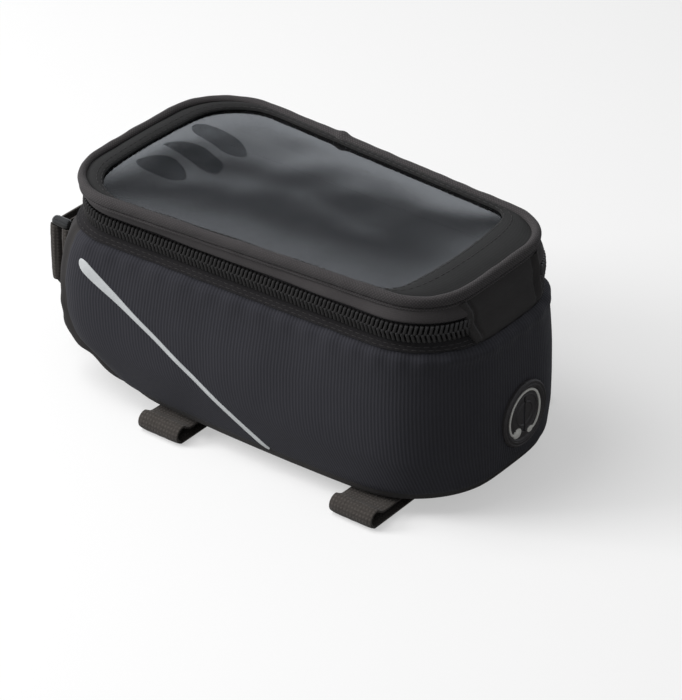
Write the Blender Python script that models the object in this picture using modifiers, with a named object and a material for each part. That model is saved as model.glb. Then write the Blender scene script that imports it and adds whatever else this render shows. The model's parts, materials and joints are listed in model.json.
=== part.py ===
"""A soft bicycle bag with a clear phone window in its zipped lid.

Metres, +Z up. +X runs from the strap end to the port end, the long sides face -Y and +Y,
and the origin is on the floor under the middle of the bag.
"""
import math

import bmesh
import bpy
from mathutils import Vector

MM = 0.001

# The fit between separate pieces
GAP = 0.3 * MM

# Heights: the base above the floor, then each seam above the one below it
BASE_Z = 6.0 * MM
BASE_TURN = 4.0 * MM
BODY_HEIGHT = 62.0 * MM
TRACK_RISE = 8.0 * MM
LID_RISE = 9.0 * MM
BINDING_HEIGHT = 5.5 * MM
BASE_SEAM_Z = BASE_Z + BASE_TURN
MOUTH_Z = BASE_SEAM_Z + BODY_HEIGHT
TRACK_Z = MOUTH_Z + TRACK_RISE
BINDING_Z = TRACK_Z + LID_RISE
RIM_Z = BINDING_Z + BINDING_HEIGHT

# Length of the body between its two ends, and its widest half width at each end
STRAP_END = -98.0 * MM
LENGTH = 195.8 * MM
STRAP_END_HALF = 52.2 * MM
PORT_END_HALF = 47.5 * MM
PORT_END = STRAP_END + LENGTH

# Cloth, foam and film thicknesses
WALL = 2.5 * MM
LID_WALL = 2.0 * MM
BOARD = 1.5 * MM
LID_PROUD = 0.4 * MM
BINDING = 1.2 * MM
BINDING_LAP = 3.2 * MM
BINDING_BULGE = 1.2 * MM
BINDING_CREST = 0.5 * MM
SHEET = 1.0 * MM
FILM = 0.5 * MM
POCKET_CLOTH = 1.0 * MM

# Zip
TAPE = 0.6 * MM
COIL_DEPTH = 1.5 * MM
COIL_HEIGHT = 3.0 * MM
COIL_PART = 0.45 * MM
TOOTH_PITCH = 2.5 * MM
TOOTH_RELIEF = 0.7 * MM
TOOTH_LEAN = 1.0 * MM

# Slider and its pull
SLIDER_X = PORT_END - 39.8 * MM
SLIDER_LENGTH = 11.0 * MM
SLIDER_HEIGHT = 7.4 * MM
SLIDER_PLATE = 0.9 * MM
SLIDER_WEB = (3.0 * MM, 0.3 * MM)
SLIDER_TAIL = 4.6 * MM
BRIDGE_LENGTH = 6.2 * MM
BRIDGE_CLEAR = 2.0 * MM
BRIDGE_BAR = 1.0 * MM
BRIDGE_WIDTH = 1.6 * MM
PULL_LENGTH = 22.0 * MM
PULL_WIDTH = 6.0 * MM
PULL_THICK = 1.0 * MM
PULL_EYE = (3.8 * MM, 3.6 * MM)

# Window in the lid and the pocket under it
FILM_LAP = 1.6 * MM
POCKET_FLOOR_Z = TRACK_Z + 1.6 * MM
POCKET_DEPTH = 2.6 * MM
POCKET_MOUTH = (130.0 * MM, 12.0 * MM)
POCKET_MOUTH_Y = PORT_END_HALF - 18.5 * MM

# Cable port in the port end
PORT_Y = 3.0 * MM
PORT_Z = BASE_SEAM_Z + 21.8 * MM
PORT_RADIUS = 14.0 * MM
PORT_BORE = 11.5 * MM
PORT_CUT = 40.0 * MM
PORT_FLANGE = 1.5 * MM
PORT_DISC = 1.2 * MM
PORT_RECESS = 0.6 * MM
PORT_SLEEVE = 1.4 * MM
PORT_SLIT = (1.0 * MM, 16.0 * MM)
PORT_RIDGES = (5.0 * MM, 8.0 * MM)
PORT_RIDGE = 0.4 * MM
PORT_SAG = 0.7 * MM

# Frame straps under the base
STRAP_WIDTH = 20.0 * MM
STRAP_THICK = 1.3 * MM
STRAP_XS = (STRAP_END + 67.8 * MM, PORT_END - 32.3 * MM)
STRAP_REACH = STRAP_END_HALF + 8.1 * MM
STRAP_BULGE = 8.0 * MM
STRAP_LIFT = 0.6 * MM
HOOK_THICK = 0.8 * MM
HOOK_LENGTH = 34.0 * MM
HOOK_INSET = 2.0 * MM

# Stem strap on the strap end
STEM_WIDTH = 25.0 * MM
STEM_THICK = 1.3 * MM
STEM_Z = MOUTH_Z - 29.0 * MM
STEM_HALF = 27.0 * MM
STEM_SEWN = 13.0 * MM
STEM_EASE = 12.0 * MM
STEM_TAIL_Y = 9.0 * MM
TAB_SEWN_Y = -7.0 * MM
RING_BAR = 1.2 * MM
RING_CORNER = 1.8 * MM

# Reflective stripe sewn along each side, as X and Z of its two ends
STRIPE_TOP = (STRAP_END + 22.0 * MM, MOUTH_Z - 10.0 * MM)
STRIPE_FOOT = (STRAP_END + 117.5 * MM, BASE_SEAM_Z + 0.6 * MM)
STRIPE_WIDE = 5.2 * MM
STRIPE_NARROW = 1.9 * MM
STRIPE_HEAD = 4.5 * MM
STRIPE_BLUNT = 0.15 * MM
STRIPE_TAPER = 22.0 * MM
STRIPE_FULL = 0.7
STRIPE_THICK = 0.4 * MM
STRIPE_CLEAR = 0.4 * MM

# Steps round one quarter corner, along one side and across one end of an outline
CORNER_STEPS = 8
SIDE_STEPS = 6
END_STEPS = 4

# Steps round a turned piece, round a bend of webbing and along a stripe, crowded toward its head
TURN_STEPS = 24
BEND_STEPS = 8
STRIPE_STEPS = 28
STRIPE_CROWD = 1.7

# How far round the corners the strap end's panel and the hinge panel reach, in steps
SEAM_STEPS = 4
HINGE_STEPS = 1


def oblong(strap_in, port_in, strap_less, port_less, strap_radius, port_radius, crown, bulge):
    """A tapered oblong with round corners, in millimetres set in from the body's ends and half widths.

    It gives the strap end's X and the port end's, the half width at each, the corner radius at each, the
    bow of the ends and the bow of the sides.
    """
    ends = (STRAP_END + strap_in * MM, PORT_END - port_in * MM)
    halves = (STRAP_END_HALF - strap_less * MM, PORT_END_HALF - port_less * MM)
    return (*ends, *halves, strap_radius * MM, port_radius * MM, crown * MM, bulge * MM)


# Outlines of the body from the base up, of the zip, and of the lid's shoulder, rim and window
BODY = (
    (BASE_Z, oblong(40.0, 2.8, 4.7, 2.0, 20.0, 34.0, 2.0, 3.0)),
    (BASE_SEAM_Z, oblong(29.0, 0.8, 2.2, 0.5, 22.0, 34.0, 2.2, 3.0)),
    (BASE_SEAM_Z + 0.24 * BODY_HEIGHT, oblong(3.5, 0.0, 0.2, 0.0, 24.0, 34.0, 2.4, 3.0)),
    (BASE_SEAM_Z + 0.39 * BODY_HEIGHT, oblong(0.0, 0.0, 0.0, 0.0, 24.0, 34.0, 2.4, 2.8)),
    (BASE_SEAM_Z + 0.61 * BODY_HEIGHT, oblong(1.0, 0.4, 0.0, 0.5, 24.0, 34.0, 2.4, 2.2)),
    (BASE_SEAM_Z + 0.82 * BODY_HEIGHT, oblong(3.5, 1.2, 0.4, 1.3, 24.0, 34.0, 2.4, 1.0)),
    (MOUTH_Z, oblong(6.5, 2.3, 1.2, 2.3, 24.0, 33.0, 2.2, 0.0)),
)
TRACK = oblong(10.5, 6.3, 4.7, 4.8, 24.0, 26.0, 1.6, 0.0)
SHOULDER = oblong(9.5, 8.3, 0.6, 6.9, 26.0, 22.0, 1.2, 0.0)
RIM = oblong(9.0, 8.8, -0.3, 7.5, 27.0, 21.5, 1.0, 0.0)
WINDOW = oblong(21.5, 30.3, 4.3, 9.8, 20.0, 7.0, 3.5, 0.0)


def material(name, colour, roughness, metallic=0.0, alpha=1.0):
    made = bpy.data.materials.new(name)
    made.use_nodes = True
    shader = made.node_tree.nodes["Principled BSDF"]
    shader.inputs["Base Color"].default_value = (*colour, 1.0)
    shader.inputs["Roughness"].default_value = roughness
    shader.inputs["Metallic"].default_value = metallic
    shader.inputs["Alpha"].default_value = alpha
    return made


def outline(shape, depth=0.0, fine=1):
    """Points round an outline moved inward by depth.

    They start at the strap end's -Y corner and go along -Y first. The points of any two outlines match
    one to one, so a loft joins them in order.
    """
    strap_x, port_x, strap_half, port_half, strap_radius, port_radius, crown, bulge = shape
    slope = math.atan2(strap_half - port_half, port_x - strap_x)
    first = -math.pi / 2 + slope
    strap_y = -strap_half + strap_radius * (1 + math.sin(slope)) / math.cos(slope)
    port_y = -port_half + port_radius * (1 - math.sin(slope)) / math.cos(slope)
    strap_centre = (strap_x + strap_radius, strap_y)
    port_centre = (port_x - port_radius, port_y)
    middle, reach = (strap_x + port_x) / 2, (port_x - strap_x) / 2

    def arc(centre, radius, start, stop, sign):
        steps = CORNER_STEPS * fine
        angles = [start + (stop - start) * k / steps for k in range(steps + 1)]
        around = [(centre[0] + radius * math.cos(a), centre[1] + radius * math.sin(a)) for a in angles]
        return [(x, sign * y) for x, y in around]

    corners = (
        arc(strap_centre, strap_radius - depth, -math.pi, first, 1),
        arc(port_centre, port_radius - depth, first, 0.0, 1),
        arc(port_centre, port_radius - depth, 0.0, first, -1),
        arc(strap_centre, strap_radius - depth, first, -math.pi, -1),
    )
    points = []
    for k, steps in enumerate((SIDE_STEPS, END_STEPS, SIDE_STEPS, END_STEPS)):
        here, there = corners[k][-1], corners[(k + 1) % 4][0]
        points += corners[k]
        shares = [step / (steps * fine) for step in range(1, steps * fine)]
        points += [tuple(a + (b - a) * share for a, b in zip(here, there)) for share in shares]

    def bowed(x, y):
        half = strap_half + (port_half - strap_half) * (x - strap_x) / (port_x - strap_x)
        along, across = (x - middle) / reach, y / half
        x += math.copysign(crown, along) * max(0.0, 1 - across**2) * along**2
        y += bulge * across * max(0.0, 1 - along**2)
        return x, y

    return [bowed(x, y) for x, y in points]


# Places in an outline's list of points
PORT_START = 2 * CORNER_STEPS + SIDE_STEPS
PORT_STOP = PORT_START + END_STEPS
STRAP_START = 4 * CORNER_STEPS + 2 * SIDE_STEPS + END_STEPS
WHOLE = STRAP_START + END_STEPS


def body_shape(z):
    """The body's outline values at a height, eased between the levels of BODY."""
    for (low, below), (high, above) in zip(BODY, BODY[1:]):
        if z <= high:
            share = (z - low) / (high - low)
            return tuple(a + (b - a) * share for a, b in zip(below, above))
    return BODY[-1][1]


def level(shape, z, depth=0.0, run=None, fine=1):
    """One row of a loft: an outline at a height.

    With run, it is the stretch between two places, each end trimmed by half the gap at the seam.
    """
    points = outline(shape, depth, fine)
    if run is None:
        return [Vector((x, y, z)) for x, y in points]
    first, last = (place * fine for place in run)
    row = [Vector((*points[k % len(points)], z)) for k in range(first, last + 1)]
    for end, inner in ((0, 1), (-1, -2)):
        row[end] += (row[inner] - row[end]).normalized() * GAP / 2
    return row


def add_object(name, mesh, finish):
    made = bpy.data.objects.new(name, mesh)
    made.data.materials.append(finish)
    bag.objects.link(made)
    return made


def loft(name, finish, rows, around=False):
    """A solid skinned over rows that all run the same way, up its front face and then down its back face.

    With around, each row closes on itself. Otherwise the ends are capped, level by level.
    """
    bm = bmesh.new()
    grid = [[bm.verts.new(point) for point in row] for row in rows]
    count = len(rows[0])
    for low, high in zip(grid, grid[1:] + grid[:1]):
        for k in range(count if around else count - 1):
            after = (k + 1) % count
            bm.faces.new((low[k], low[after], high[after], high[k]))
    if not around:
        for end in (0, -1):
            for k in range((len(grid) - 1) // 2):
                rows_here = dict.fromkeys((k, k + 1, len(grid) - k - 2, len(grid) - k - 1))
                bm.faces.new([grid[row][end] for row in rows_here])
    bmesh.ops.recalc_face_normals(bm, faces=bm.faces)
    mesh = bpy.data.meshes.new(name)
    bm.to_mesh(mesh)
    bm.free()
    made = add_object(name, mesh, finish)
    mesh.shade_smooth()
    mesh.set_sharp_from_angle(angle=math.radians(40))
    return made


def tray(name, finish, rows):
    """A solid dish with two flat floors: its rows climb inside, go over the edge and down outside."""
    bm = bmesh.new()
    grid = [[bm.verts.new(point) for point in row] for row in rows]
    count = len(rows[0])
    for low, high in zip(grid, grid[1:]):
        for k in range(count):
            after = (k + 1) % count
            bm.faces.new((low[k], low[after], high[after], high[k]))
    bm.faces.new(grid[0])
    bm.faces.new(grid[-1])
    bmesh.ops.recalc_face_normals(bm, faces=bm.faces)
    mesh = bpy.data.meshes.new(name)
    bm.to_mesh(mesh)
    bm.free()
    made = add_object(name, mesh, finish)
    mesh.shade_smooth()
    mesh.set_sharp_from_angle(angle=math.radians(40))
    return made


def cutter(name, mesh):
    made = bpy.data.objects.new(name, mesh)
    made.hide_render = True
    made.display_type = "WIRE"
    cutters.objects.link(made)
    return made


def cut(piece, tool, operation="DIFFERENCE"):
    step = piece.modifiers.new(tool.name, "BOOLEAN")
    step.operation = operation
    step.object = tool


def box_mesh(name, low, high):
    bm = bmesh.new()
    bmesh.ops.create_cube(bm, size=1.0)
    for vert in bm.verts:
        vert.co = Vector([l + (h - l) * (c + 0.5) for l, h, c in zip(low, high, vert.co)])
    mesh = bpy.data.meshes.new(name)
    bm.to_mesh(mesh)
    bm.free()
    return mesh


def turned(name, finish, profile, place):
    """A piece turned about the X axis through place, from (distance along X, radius) points.

    A profile that starts and ends on the axis is solid there, and any other closes on itself.
    """
    bm = bmesh.new()
    angles = [2 * math.pi * k / TURN_STEPS for k in range(TURN_STEPS)]
    rings = []
    for along, radius in profile:
        ring = [Vector((along, radius * math.cos(a), radius * math.sin(a))) for a in angles]
        if radius == 0:
            ring = ring[:1]
        rings.append([bm.verts.new(place + point) for point in ring])
    pairs = list(zip(rings, rings[1:]))
    if len(rings[0]) > 1:
        pairs.append((rings[-1], rings[0]))
    for low, high in pairs:
        for k in range(TURN_STEPS):
            after = k + 1
            corners = [low[k % len(low)], low[after % len(low)], high[after % len(high)], high[k % len(high)]]
            bm.faces.new(list(dict.fromkeys(corners)))
    bmesh.ops.recalc_face_normals(bm, faces=bm.faces)
    mesh = bpy.data.meshes.new(name)
    bm.to_mesh(mesh)
    bm.free()
    made = add_object(name, mesh, finish)
    mesh.shade_smooth()
    mesh.set_sharp_from_angle(angle=math.radians(30))
    return made


def strap_band(name, finish, path, thickness, across, closed=False):
    """A flat band of webbing: a path, widened by the vector across, and given its thickness."""
    bm = bmesh.new()
    edges = [[bm.verts.new(point + across * side) for point in path] for side in (-0.5, 0.5)]
    count = len(path)
    for k in range(count if closed else count - 1):
        after = (k + 1) % count
        bm.faces.new((edges[0][k], edges[0][after], edges[1][after], edges[1][k]))
    mesh = bpy.data.meshes.new(name)
    bm.to_mesh(mesh)
    bm.free()
    made = add_object(name, mesh, finish)
    solid = made.modifiers.new("Thickness", "SOLIDIFY")
    solid.thickness = thickness
    solid.offset = 0.0
    solid.use_even_offset = True
    return made


def arc_points(centre, radius, start, stop, steps):
    """Points of an arc in a plane, as pairs, from one angle in degrees to another."""
    angles = [math.radians(start + (stop - start) * k / steps) for k in range(steps + 1)]
    return [(centre[0] + radius * math.cos(a), centre[1] + radius * math.sin(a)) for a in angles]


# Runs of an outline: the ribbed side panel, the strap end's panel, the zip and the hinge
SIDE_RUN = (SEAM_STEPS, STRAP_START - SEAM_STEPS)
END_RUN = (STRAP_START - SEAM_STEPS, WHOLE + SEAM_STEPS)
ZIP_RUN = (PORT_STOP + HINGE_STEPS, PORT_START - HINGE_STEPS + WHOLE)
HINGE_RUN = (PORT_START - HINGE_STEPS, PORT_STOP + HINGE_STEPS)

# Heights that follow from the zip and the rim
TAPE_BEND_Z = TRACK_Z - SLIDER_HEIGHT / 2 - GAP
LID_LOW_Z = TRACK_Z + SLIDER_HEIGHT / 2 + 2 * GAP
LAP_Z = RIM_Z - BINDING
SHEET_Z = LAP_Z - GAP - SHEET
FILM_Z = SHEET_Z - GAP - FILM
PORT_FACE_X = max(point.x for z, shape in BODY for point in level(shape, z))
STRAP_FACE_X = min(point.x for z, shape in BODY for point in level(shape, z))

# The lid swings about the lower edge of its hinge panel
HINGE_X = max(point.x for point in level(BODY[-1][1], MOUTH_Z))
HINGE_Z = MOUTH_Z + GAP

# Places of the stem strap's layers, from the strap end outward
STEM_WRAP = RING_BAR + GAP + STEM_THICK / 2
STEM_SEWN_X = STRAP_FACE_X - GAP - STEM_THICK / 2
RING_NEAR_X = STEM_SEWN_X - STEM_WRAP
STEM_RUN_X = RING_NEAR_X - STEM_WRAP - STEM_THICK - 2 * GAP
RING_FAR_X = STEM_RUN_X - STEM_WRAP

# The middle of the whole length, which goes over the origin
PORT_REACH_X = PORT_FACE_X + GAP + PORT_FLANGE
STEM_REACH_X = RING_FAR_X - STEM_WRAP - STEM_THICK / 2
MIDDLE_X = (PORT_REACH_X + STEM_REACH_X) / 2


def walls(name, finish, run, bottom, top):
    """A stretch of the bag's foam wall between two heights."""
    heights = [bottom] + [z for z, shape in BODY if bottom < z < top] + [top]
    outer = [level(body_shape(z), z, 0.0, run) for z in heights]
    inner = [level(body_shape(z), z, WALL, run) for z in reversed(heights)]
    return loft(name, finish, outer + inner)


def make_shell(cloth, plain_cloth, board):
    side = walls("side_panel", cloth, SIDE_RUN, BASE_SEAM_Z + GAP / 2, MOUTH_Z)
    bm = bmesh.new()
    bmesh.ops.create_cone(
        bm, cap_ends=True, segments=TURN_STEPS, radius1=PORT_BORE, radius2=PORT_BORE, depth=PORT_CUT,
    )
    mesh = bpy.data.meshes.new("port_cut")
    bm.to_mesh(mesh)
    bm.free()
    tool = cutter("port_cut", mesh)
    tool.rotation_euler = (0, math.pi / 2, 0)
    tool.location = (PORT_FACE_X, PORT_Y, PORT_Z)
    cut(side, tool)
    walls("strap_end_panel", plain_cloth, END_RUN, BASE_SEAM_Z + GAP / 2, MOUTH_Z)
    rim_z, floor_z = BASE_SEAM_Z - GAP / 2, BASE_Z + WALL
    tray("base_panel", plain_cloth, [
        level(body_shape(floor_z), floor_z, WALL),
        level(body_shape(rim_z), rim_z, WALL),
        level(body_shape(rim_z), rim_z),
        level(body_shape(BASE_Z), BASE_Z),
    ])
    low, inset = floor_z + GAP, WALL + 3 * GAP
    tray("base_board", board, [level(body_shape(low), z, inset) for z in (low + BOARD, low)])


def track_stations(spacing):
    """Places along the zip, each a point and its outward direction, about half a spacing apart."""
    fine = 6
    path = level(TRACK, TRACK_Z, 0.0, ZIP_RUN, fine)
    lengths = [0.0]
    for here, there in zip(path, path[1:]):
        lengths.append(lengths[-1] + (there - here).length)
    count = 2 * round(lengths[-1] / spacing)
    places, k = [], 0
    for step in range(count + 1):
        wanted = lengths[-1] * step / count
        while k < len(path) - 2 and lengths[k + 1] < wanted:
            k += 1
        along = (path[k + 1] - path[k]).normalized()
        places.append((path[k] + along * (wanted - lengths[k]), along, Vector((along.y, -along.x, 0))))
    return places


def coil(name, finish, seam_z, free_z):
    """A row of zip teeth with its flat back on the tape.

    Each tooth climbs from its seam to its head at the free edge, and leans along the zip like one arm of
    a chevron. Every second station lies lower, which parts the teeth.
    """
    places = track_stations(TOOTH_PITCH)
    lines = [[], [], []]
    for k, (point, along, out) in enumerate(places):
        height = COIL_DEPTH - (TOOTH_RELIEF if k % 2 else 0.0)
        lean = along * (TOOTH_LEAN if 0 < k < len(places) - 1 else 0.0)
        flat = Vector((point.x, point.y, 0))
        lines[0].append(flat + Vector((0, 0, seam_z)))
        lines[1].append(flat + out * height + lean + Vector((0, 0, free_z)))
        lines[2].append(flat + Vector((0, 0, free_z)))
    loft(name, finish, lines)


def make_lower_zip(tape_cloth, nylon):
    low, foot = TRACK_Z - COIL_PART, MOUTH_Z + GAP
    seat = (WALL - TAPE) / 2
    loft("lower_zip_tape", tape_cloth, [
        level(BODY[-1][1], foot, seat, ZIP_RUN),
        level(TRACK, TAPE_BEND_Z, GAP, ZIP_RUN),
        level(TRACK, low, GAP, ZIP_RUN),
        level(TRACK, low, GAP + TAPE, ZIP_RUN),
        level(TRACK, TAPE_BEND_Z, GAP + TAPE, ZIP_RUN),
        level(BODY[-1][1], foot, seat + TAPE, ZIP_RUN),
    ])
    coil("lower_zip_teeth", nylon, low - COIL_HEIGHT, low)


def make_upper_zip(tape_cloth, nylon):
    high, head = TRACK_Z + COIL_PART, LID_LOW_Z - GAP
    loft("upper_zip_tape", tape_cloth, [
        level(TRACK, high, GAP, ZIP_RUN),
        level(TRACK, head, GAP, ZIP_RUN),
        level(TRACK, head, GAP + TAPE, ZIP_RUN),
        level(TRACK, high, GAP + TAPE, ZIP_RUN),
    ])
    coil("upper_zip_teeth", nylon, high + COIL_HEIGHT, high)


def make_lid(plain_cloth, ribbed, sheet_cloth, film):
    proud = -LID_PROUD
    top = BINDING_Z - GAP
    loft("lid_wall", plain_cloth, [
        level(TRACK, LID_LOW_Z, proud, ZIP_RUN),
        level(SHOULDER, top, 0.0, ZIP_RUN),
        level(SHOULDER, top, LID_WALL, ZIP_RUN),
        level(TRACK, LID_LOW_Z, proud + LID_WALL, ZIP_RUN),
    ])
    loft("hinge_panel", plain_cloth, [
        level(BODY[-1][1], MOUTH_Z + GAP, 0.0, HINGE_RUN),
        level(TRACK, TRACK_Z, proud, HINGE_RUN),
        level(TRACK, LID_LOW_Z, proud, HINGE_RUN),
        level(SHOULDER, top, 0.0, HINGE_RUN),
        level(SHOULDER, top, LID_WALL, HINGE_RUN),
        level(TRACK, LID_LOW_Z, proud + LID_WALL, HINGE_RUN),
        level(TRACK, TRACK_Z, proud + LID_WALL, HINGE_RUN),
        level(BODY[-1][1], MOUTH_Z + GAP, LID_WALL, HINGE_RUN),
    ])
    loft("lid_binding", ribbed, [
        level(SHOULDER, BINDING_Z, -BINDING_BULGE / 2),
        level(RIM, BINDING_Z + BINDING, -BINDING_BULGE),
        level(RIM, LAP_Z, -BINDING_BULGE),
        level(RIM, RIM_Z, BINDING_CREST),
        level(RIM, RIM_Z, BINDING_LAP),
        level(RIM, LAP_Z, BINDING_LAP),
        level(RIM, LAP_Z, BINDING),
        level(RIM, BINDING_Z + BINDING, BINDING - BINDING_BULGE / 2),
        level(SHOULDER, BINDING_Z, BINDING),
    ], around=True)
    edge = BINDING + 2 * GAP
    loft("lid_frame", sheet_cloth, [
        level(RIM, SHEET_Z, edge),
        level(RIM, SHEET_Z + SHEET, edge),
        level(WINDOW, SHEET_Z + SHEET),
        level(WINDOW, SHEET_Z),
    ], around=True)
    tray("window_film", film, [level(WINDOW, z, -FILM_LAP) for z in (FILM_Z + FILM, FILM_Z)])
    brim = FILM_Z - GAP
    floor = POCKET_FLOOR_Z + POCKET_CLOTH
    inside = POCKET_DEPTH + POCKET_CLOTH
    pocket = tray("phone_pocket", sheet_cloth, [
        level(TRACK, floor, inside),
        level(TRACK, LID_LOW_Z, inside),
        level(SHOULDER, BINDING_Z, inside),
        level(RIM, brim, inside),
        level(RIM, brim, POCKET_DEPTH),
        level(SHOULDER, BINDING_Z, POCKET_DEPTH),
        level(TRACK, LID_LOW_Z, POCKET_DEPTH),
        level(TRACK, POCKET_FLOOR_Z, POCKET_DEPTH),
    ])
    (length, width), middle = POCKET_MOUTH, (STRAP_END + PORT_END) / 2
    low = (middle - length / 2, POCKET_MOUTH_Y - width / 2, POCKET_FLOOR_Z - POCKET_CLOTH)
    high = (middle + length / 2, POCKET_MOUTH_Y + width / 2, floor + POCKET_CLOTH)
    mouth = cutter("pocket_mouth_cut", box_mesh("pocket_mouth_cut", low, high))
    cut(pocket, mouth)


def prism_mesh(name, points, low, high, upright):
    """A prism over a flat outline: X and Z pairs run through Y when upright, X and Y pairs through Z if not."""
    bm = bmesh.new()
    ends = []
    for depth in (low, high):
        corners = [(a, depth, b) if upright else (a, b, depth) for a, b in points]
        ends.append([bm.verts.new(corner) for corner in corners])
    count = len(points)
    for k in range(count):
        after = (k + 1) % count
        bm.faces.new((ends[0][k], ends[0][after], ends[1][after], ends[1][k]))
    bm.faces.new(ends[0])
    bm.faces.new(ends[1])
    bmesh.ops.recalc_face_normals(bm, faces=bm.faces)
    mesh = bpy.data.meshes.new(name)
    bm.to_mesh(mesh)
    bm.free()
    return mesh


def make_slider(metal):
    """The slider holds the zip between two plates, and its pull swings on a bar under the bridge."""
    strap_x, port_x, strap_half, port_half = TRACK[:4]
    slope = math.atan2(strap_half - port_half, port_x - strap_x)
    half_at = strap_half - (SLIDER_X - strap_x) * math.tan(slope)
    carrier = bpy.data.objects.new("slider_place", None)
    carrier.location = (SLIDER_X, half_at, TRACK_Z)
    carrier.rotation_euler = (0, 0, -slope)
    bag.objects.link(carrier)

    nose = arc_points((SLIDER_LENGTH / 2 - SLIDER_HEIGHT / 2, 0), SLIDER_HEIGHT / 2, -90, 90, 8)
    tail = [(-SLIDER_LENGTH / 2, SLIDER_TAIL / 2), (-SLIDER_LENGTH / 2, -SLIDER_TAIL / 2)]
    plate = nose + tail
    front = COIL_DEPTH + GAP
    back = -(2 * GAP + TAPE)
    inner_face = front + SLIDER_PLATE
    slider = add_object("zip_slider", prism_mesh("zip_slider", plate, front, inner_face, True), metal)
    slider.parent = carrier

    def fuse(name, mesh):
        tool = cutter(name, mesh)
        tool.parent = carrier
        cut(slider, tool, "UNION")

    fuse("slider_back", prism_mesh("slider_back", plate, back - SLIDER_PLATE, back, True))
    length, thick = SLIDER_WEB
    low = (-length / 2, back - SLIDER_PLATE / 2, -thick / 2)
    high = (length / 2, inner_face - SLIDER_PLATE / 2, thick / 2)
    fuse("slider_web", box_mesh("slider_web", low, high))
    reach, foot = BRIDGE_LENGTH / 2, inner_face - SLIDER_PLATE / 2
    under = inner_face + BRIDGE_CLEAR
    over = under + BRIDGE_BAR
    arch = [
        (-reach, foot), (-reach, under), (-reach + BRIDGE_BAR, over), (reach - BRIDGE_BAR, over),
        (reach, under), (reach, foot), (reach - BRIDGE_BAR, foot), (reach - BRIDGE_BAR, under),
        (BRIDGE_BAR - reach, under), (BRIDGE_BAR - reach, foot),
    ]
    fuse("slider_bridge", prism_mesh("slider_bridge", arch, -BRIDGE_WIDTH / 2, BRIDGE_WIDTH / 2, False))

    pivot = inner_face + BRIDGE_CLEAR / 2
    bar = PULL_THICK / 2
    outline_points = [(bar, -PULL_WIDTH / 2), (bar, PULL_WIDTH / 2)]
    tip = PULL_WIDTH / 2 - PULL_LENGTH
    outline_points += arc_points((tip, 0), PULL_WIDTH / 2, 90, 270, 8)
    hinge = bpy.data.objects.new("pull_place", None)
    hinge.location = (0, pivot, 0)
    hinge.parent = carrier
    bag.objects.link(hinge)
    pull = add_object("zip_pull", prism_mesh("zip_pull", outline_points, -bar, bar, True), metal)
    pull.parent = hinge
    length, width = PULL_EYE
    low, high = (-bar - length, -PULL_THICK, -width / 2), (-bar, PULL_THICK, width / 2)
    eye = cutter("pull_eye", box_mesh("pull_eye", low, high))
    eye.parent = hinge
    cut(pull, eye)


def make_port(rubber):
    place = Vector((PORT_FACE_X, PORT_Y, PORT_Z))
    face = GAP + PORT_FLANGE
    disc = face - PORT_RECESS
    sleeve = PORT_BORE - GAP
    bore = sleeve - PORT_SLEEVE
    back = -(WALL + PORT_SAG)
    profile = [(disc, 0.0)]
    for radius in PORT_RIDGES:
        rise = PORT_RIDGE
        profile += [(disc, radius - rise), (disc + rise, radius), (disc, radius + rise)]
    profile += [
        (disc, sleeve - PORT_RECESS), (face, sleeve), (face, PORT_RADIUS - PORT_RIDGE),
        (face - PORT_RIDGE, PORT_RADIUS), (GAP, PORT_RADIUS), (GAP, sleeve),
        (back, sleeve), (back, bore), (disc - PORT_DISC, bore), (disc - PORT_DISC, 0.0),
    ]
    grommet = turned("port_grommet", rubber, profile, place)
    width, height = PORT_SLIT
    low = (PORT_FACE_X - WALL, PORT_Y - width / 2, PORT_Z - height / 2)
    high = (PORT_FACE_X + 2 * WALL, PORT_Y + width / 2, PORT_Z + height / 2)
    cut(grommet, cutter("port_slit_cut", box_mesh("port_slit_cut", low, high)))
    washer = back - GAP
    turned("port_washer", rubber, [
        (washer, PORT_RADIUS), (washer - PORT_FLANGE, PORT_RADIUS), (washer - PORT_FLANGE, bore), (washer, bore),
    ], place)


def side_point(x, z, side, proud):
    """A point of the bag's long side at X and a height, standing proud of the cloth."""
    fine = 4
    points = outline(body_shape(z), -proud, fine)[SEAM_STEPS * fine:PORT_START * fine + 1]
    for here, there in zip(points, points[1:]):
        if here[0] <= x <= there[0]:
            share = (x - here[0]) / (there[0] - here[0])
            return Vector((x, -side * (here[1] + (there[1] - here[1]) * share), z))
    raise ValueError("The stripe runs past the side panel")


def stripe_edges(distance):
    """How far a stripe's lower and upper edge lie from its middle line, at a distance from its head's end.

    The head is round and full on its lower side, and eases into the narrow tail.
    """
    head = math.sqrt(1 - max(0.0, 1 - (distance + STRIPE_BLUNT) / STRIPE_HEAD) ** 2)
    leaf = (STRIPE_WIDE - STRIPE_NARROW) * math.exp(-(distance / STRIPE_TAPER) ** 2)
    low, high = STRIPE_FULL * leaf, (1 - STRIPE_FULL) * leaf
    return -head * (STRIPE_NARROW / 2 + low), head * (STRIPE_NARROW / 2 + high)


def make_stripe(name, finish, side):
    """A leaf-headed stripe of reflective tape that runs slanting down a long side."""
    top, foot = Vector(STRIPE_TOP), Vector(STRIPE_FOOT)
    run = foot - top
    across = Vector((-run.y, run.x)).normalized()
    lines = [[], [], [], []]
    for k in range(STRIPE_STEPS + 1):
        share = (k / STRIPE_STEPS) ** STRIPE_CROWD
        low, high = stripe_edges(share * run.length)
        middle = top + run * share
        for line, (edge, proud) in enumerate(((low, 1), (high, 1), (high, 0), (low, 0))):
            x, z = middle + across * edge
            lines[line].append(side_point(x, z, side, STRIPE_CLEAR + STRIPE_THICK * proud))
    loft(name, finish, lines)


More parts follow.
